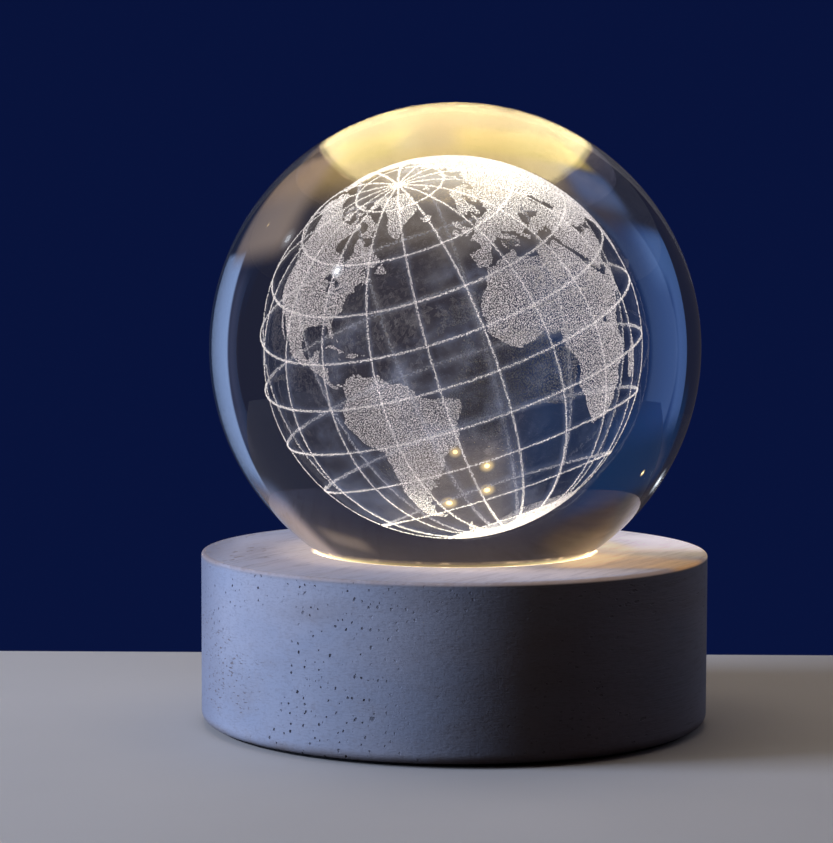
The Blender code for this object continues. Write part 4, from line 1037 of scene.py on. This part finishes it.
def make_world():
    """A dark blue room: lit cards behind the lamp on both sides, which only glass and gloss see."""
    world = bpy.data.worlds.new("studio")
    bpy.context.scene.world = world
    world.use_nodes = True
    n = Nodes(world.node_tree)
    towards = n.add("ShaderNodeTexCoord", output="Generated")
    x, y, z = n.parts(towards)
    # Degrees: azimuth is 0 straight behind the lamp and grows to the right, rise is 0 at the horizon
    azimuth = n.maths("ARCTAN2", x, y) * degrees(1)
    rise = n.maths("ARCSINE", z) * degrees(1)

    def patch(turns, rises):
        """A soft-edged patch of the room: from and to, and the widths of the ends, of azimuth and rise."""
        return n.between(azimuth, *turns) * n.between(rise, *rises)

    def shift(angle, low, high, first, last):
        """Turns from the first colour at one angle to the last at another."""
        return n.mix(n.step(angle, low, high), first, last)

    dim_middle = 1 - 0.85 * patch((-4, 20, 8, 8), (-60, -38, 3, 3))
    golden = patch((-43, 48, 7, 12), (-58, -38, 10, 5)) * dim_middle
    left_to_right = shift(azimuth, -38, -10, (0.010, 0.012, 0.028), (0.014, 0.016, 0.034))
    right_skirt = patch((47, 57, 6, 1), (-20, 25, 6, 8)) * (0.022, 0.020, 0.026)
    straight_behind = shift(azimuth, -15, -4, (0.010, 0.026, 0.078), (0.034, 0.030, 0.040))
    left_card = shift(azimuth, -53.5, -49.5, (0.060, 0.120, 0.320), (0.014, 0.045, 0.170))
    right_foot = shift(rise, -40, -30, (0.37, 0.26, 0.18), (0.24, 0.19, 0.17))
    right_top = shift(rise, 28, 42, (0.12, 0.16, 0.30), (0.48, 0.36, 0.32))
    room = n.lay_over(left_to_right + right_skirt, [
        (patch((-32, 38, 22, 30), (-30, 30, 12, 20)), straight_behind),  # dim wall behind the lamp
        (patch((-32, 34, 18, 14), (-52, -14, 8, 8)), (0.120, 0.098, 0.084)),  # brown below it
        (patch((-28, 46, 12, 12), (-46, -27, 6, 12)), (0.30, 0.21, 0.09)),  # gold that fades upward
        (golden, (0.36, 0.27, 0.06)),  # gold past the far edge of the table
        (n.step(rise, 25, 45), (0.016, 0.009, 0.008)),  # dark ceiling
        (patch((-66, -18, 4, 12), (4, 33, 8, 6)), (0.006, 0.026, 0.088)),  # blue above the left card
        (patch((20, 42, 6, 8), (36, 45, 4, 4)), (0.15, 0.11, 0.085)),  # warm spot high on the right
        (patch((-59.5, -24, 1, 26), (-29, 19, 6, 9)), left_card),
        (patch((-59.5, -38, 1, 13), (-29, -11, 6, 9)), (0.060, 0.125, 0.320)),  # the card's brighter foot
        (patch((-46, -24, 6, 6), (-42, -27, 4, 6)), (0.030, 0.066, 0.165)),  # and its fading lower edge
        (n.between(azimuth, -62, -34, 6, 12) * n.step(rise, 33, 48), (0.066, 0.034, 0.018)),  # warm, high up
        (patch((54.5, 79, 2, 3), (-23, 60, 2, 15)), (0.28, 0.40, 0.70)),  # right card
        (patch((30, 70, 10, 8), (-50, -17, 6, 7)), right_foot),
        (patch((40, 76, 12, 6), (25, 70, 9, 10)), right_top),
    ])
    for turn, height, core, halo, level, halo_level, colour in ROOM_LAMPS:
        turn, height = radians(turn), radians(height)
        lamp = (cos(height) * sin(turn), cos(height) * cos(turn), sin(height))
        nearness = n.measure("DOT_PRODUCT", towards, lamp)
        disc = n.step(nearness, cos(radians(core * 1.2)), cos(radians(core * 0.8))) * level
        disc = disc + n.step(nearness, cos(radians(halo)), 1) ** 2 * halo_level
        room = room + disc * colour
    navy = (0.0026, 0.0066, 0.044)
    seen = n.lay_over(room, [(n.ray("Camera"), navy), (n.ray("Diffuse"), (0.015, 0.009, 0.008))])
    background = world.node_tree.nodes["Background"]
    n.feed(background.inputs["Color"], seen)
    n.feed(background.inputs["Strength"], 1)


def area_lamp(name, place, size, power, colour):
    """A soft lamp of the studio, which neither the camera, glass nor gloss sees."""
    light = bpy.data.lights.new(name, "AREA")
    light.shape = "RECTANGLE"
    light.size, light.size_y = size
    light.energy = power
    light.color = colour
    lamp = to_scene(name, light, place)
    lamp.rotation_mode = "QUATERNION"
    lamp.rotation_quaternion = (LAMP_TARGET - Vector(place)).to_track_quat("-Z", "Y")
    lamp.visible_camera = False
    lamp.visible_glossy = False
    lamp.visible_transmission = False


def make_lamps():
    """A large cool key from the left, a faint rim light from behind and a soft top light."""
    area_lamp("key", place=(-0.44, -0.088, 0.16), size=(0.16, 0.26), power=2.98, colour=(0.50, 0.64, 1.0))
    area_lamp("rim", place=(0.30, 0.36, 0.12), size=(0.20, 0.20), power=0.30, colour=(0.62, 0.70, 1.0))
    area_lamp("top", place=(-0.02, 0.06, 0.55), size=(0.30, 0.30), power=0.55, colour=(1.0, 0.97, 0.94))


def make_camera():
    """The photograph's view: its place and turn are fitted to the outlines of the ball and the base."""
    data = bpy.data.cameras.new("camera")
    data.sensor_width = SENSOR
    data.lens = FOCAL_PIXELS / LONG_SIDE_PIXELS * SENSOR
    data.clip_start = 0.01
    data.clip_end = 20
    level_ahead = Vector((sin(CAMERA_YAW), cos(CAMERA_YAW), 0))
    ahead = level_ahead * cos(CAMERA_PITCH) - Vector((0, 0, sin(CAMERA_PITCH)))
    level = Vector((cos(CAMERA_YAW), -sin(CAMERA_YAW), 0))
    upright = level.cross(ahead)
    right = level * cos(CAMERA_ROLL) + upright * sin(CAMERA_ROLL)
    up = upright * cos(CAMERA_ROLL) - level * sin(CAMERA_ROLL)
    turned = Matrix((right, up, -ahead)).transposed()
    back = CAMERA_DISTANCE * cos(CAMERA_HEIGHT_ANGLE)
    height = CAMERA_DISTANCE * sin(CAMERA_HEIGHT_ANGLE) + WOOD_BOTTOM
    camera = to_scene("camera", data)
    camera.matrix_world = Matrix.Translation((0, -back, height)) @ turned.to_4x4()
    bpy.context.scene.camera = camera


make_camera()
make_floor()
make_world()
make_lamps()
dress_nodes()
make_ball()
make_globe()
make_base()
bpy.context.scene.view_settings.view_transform = "Standard"
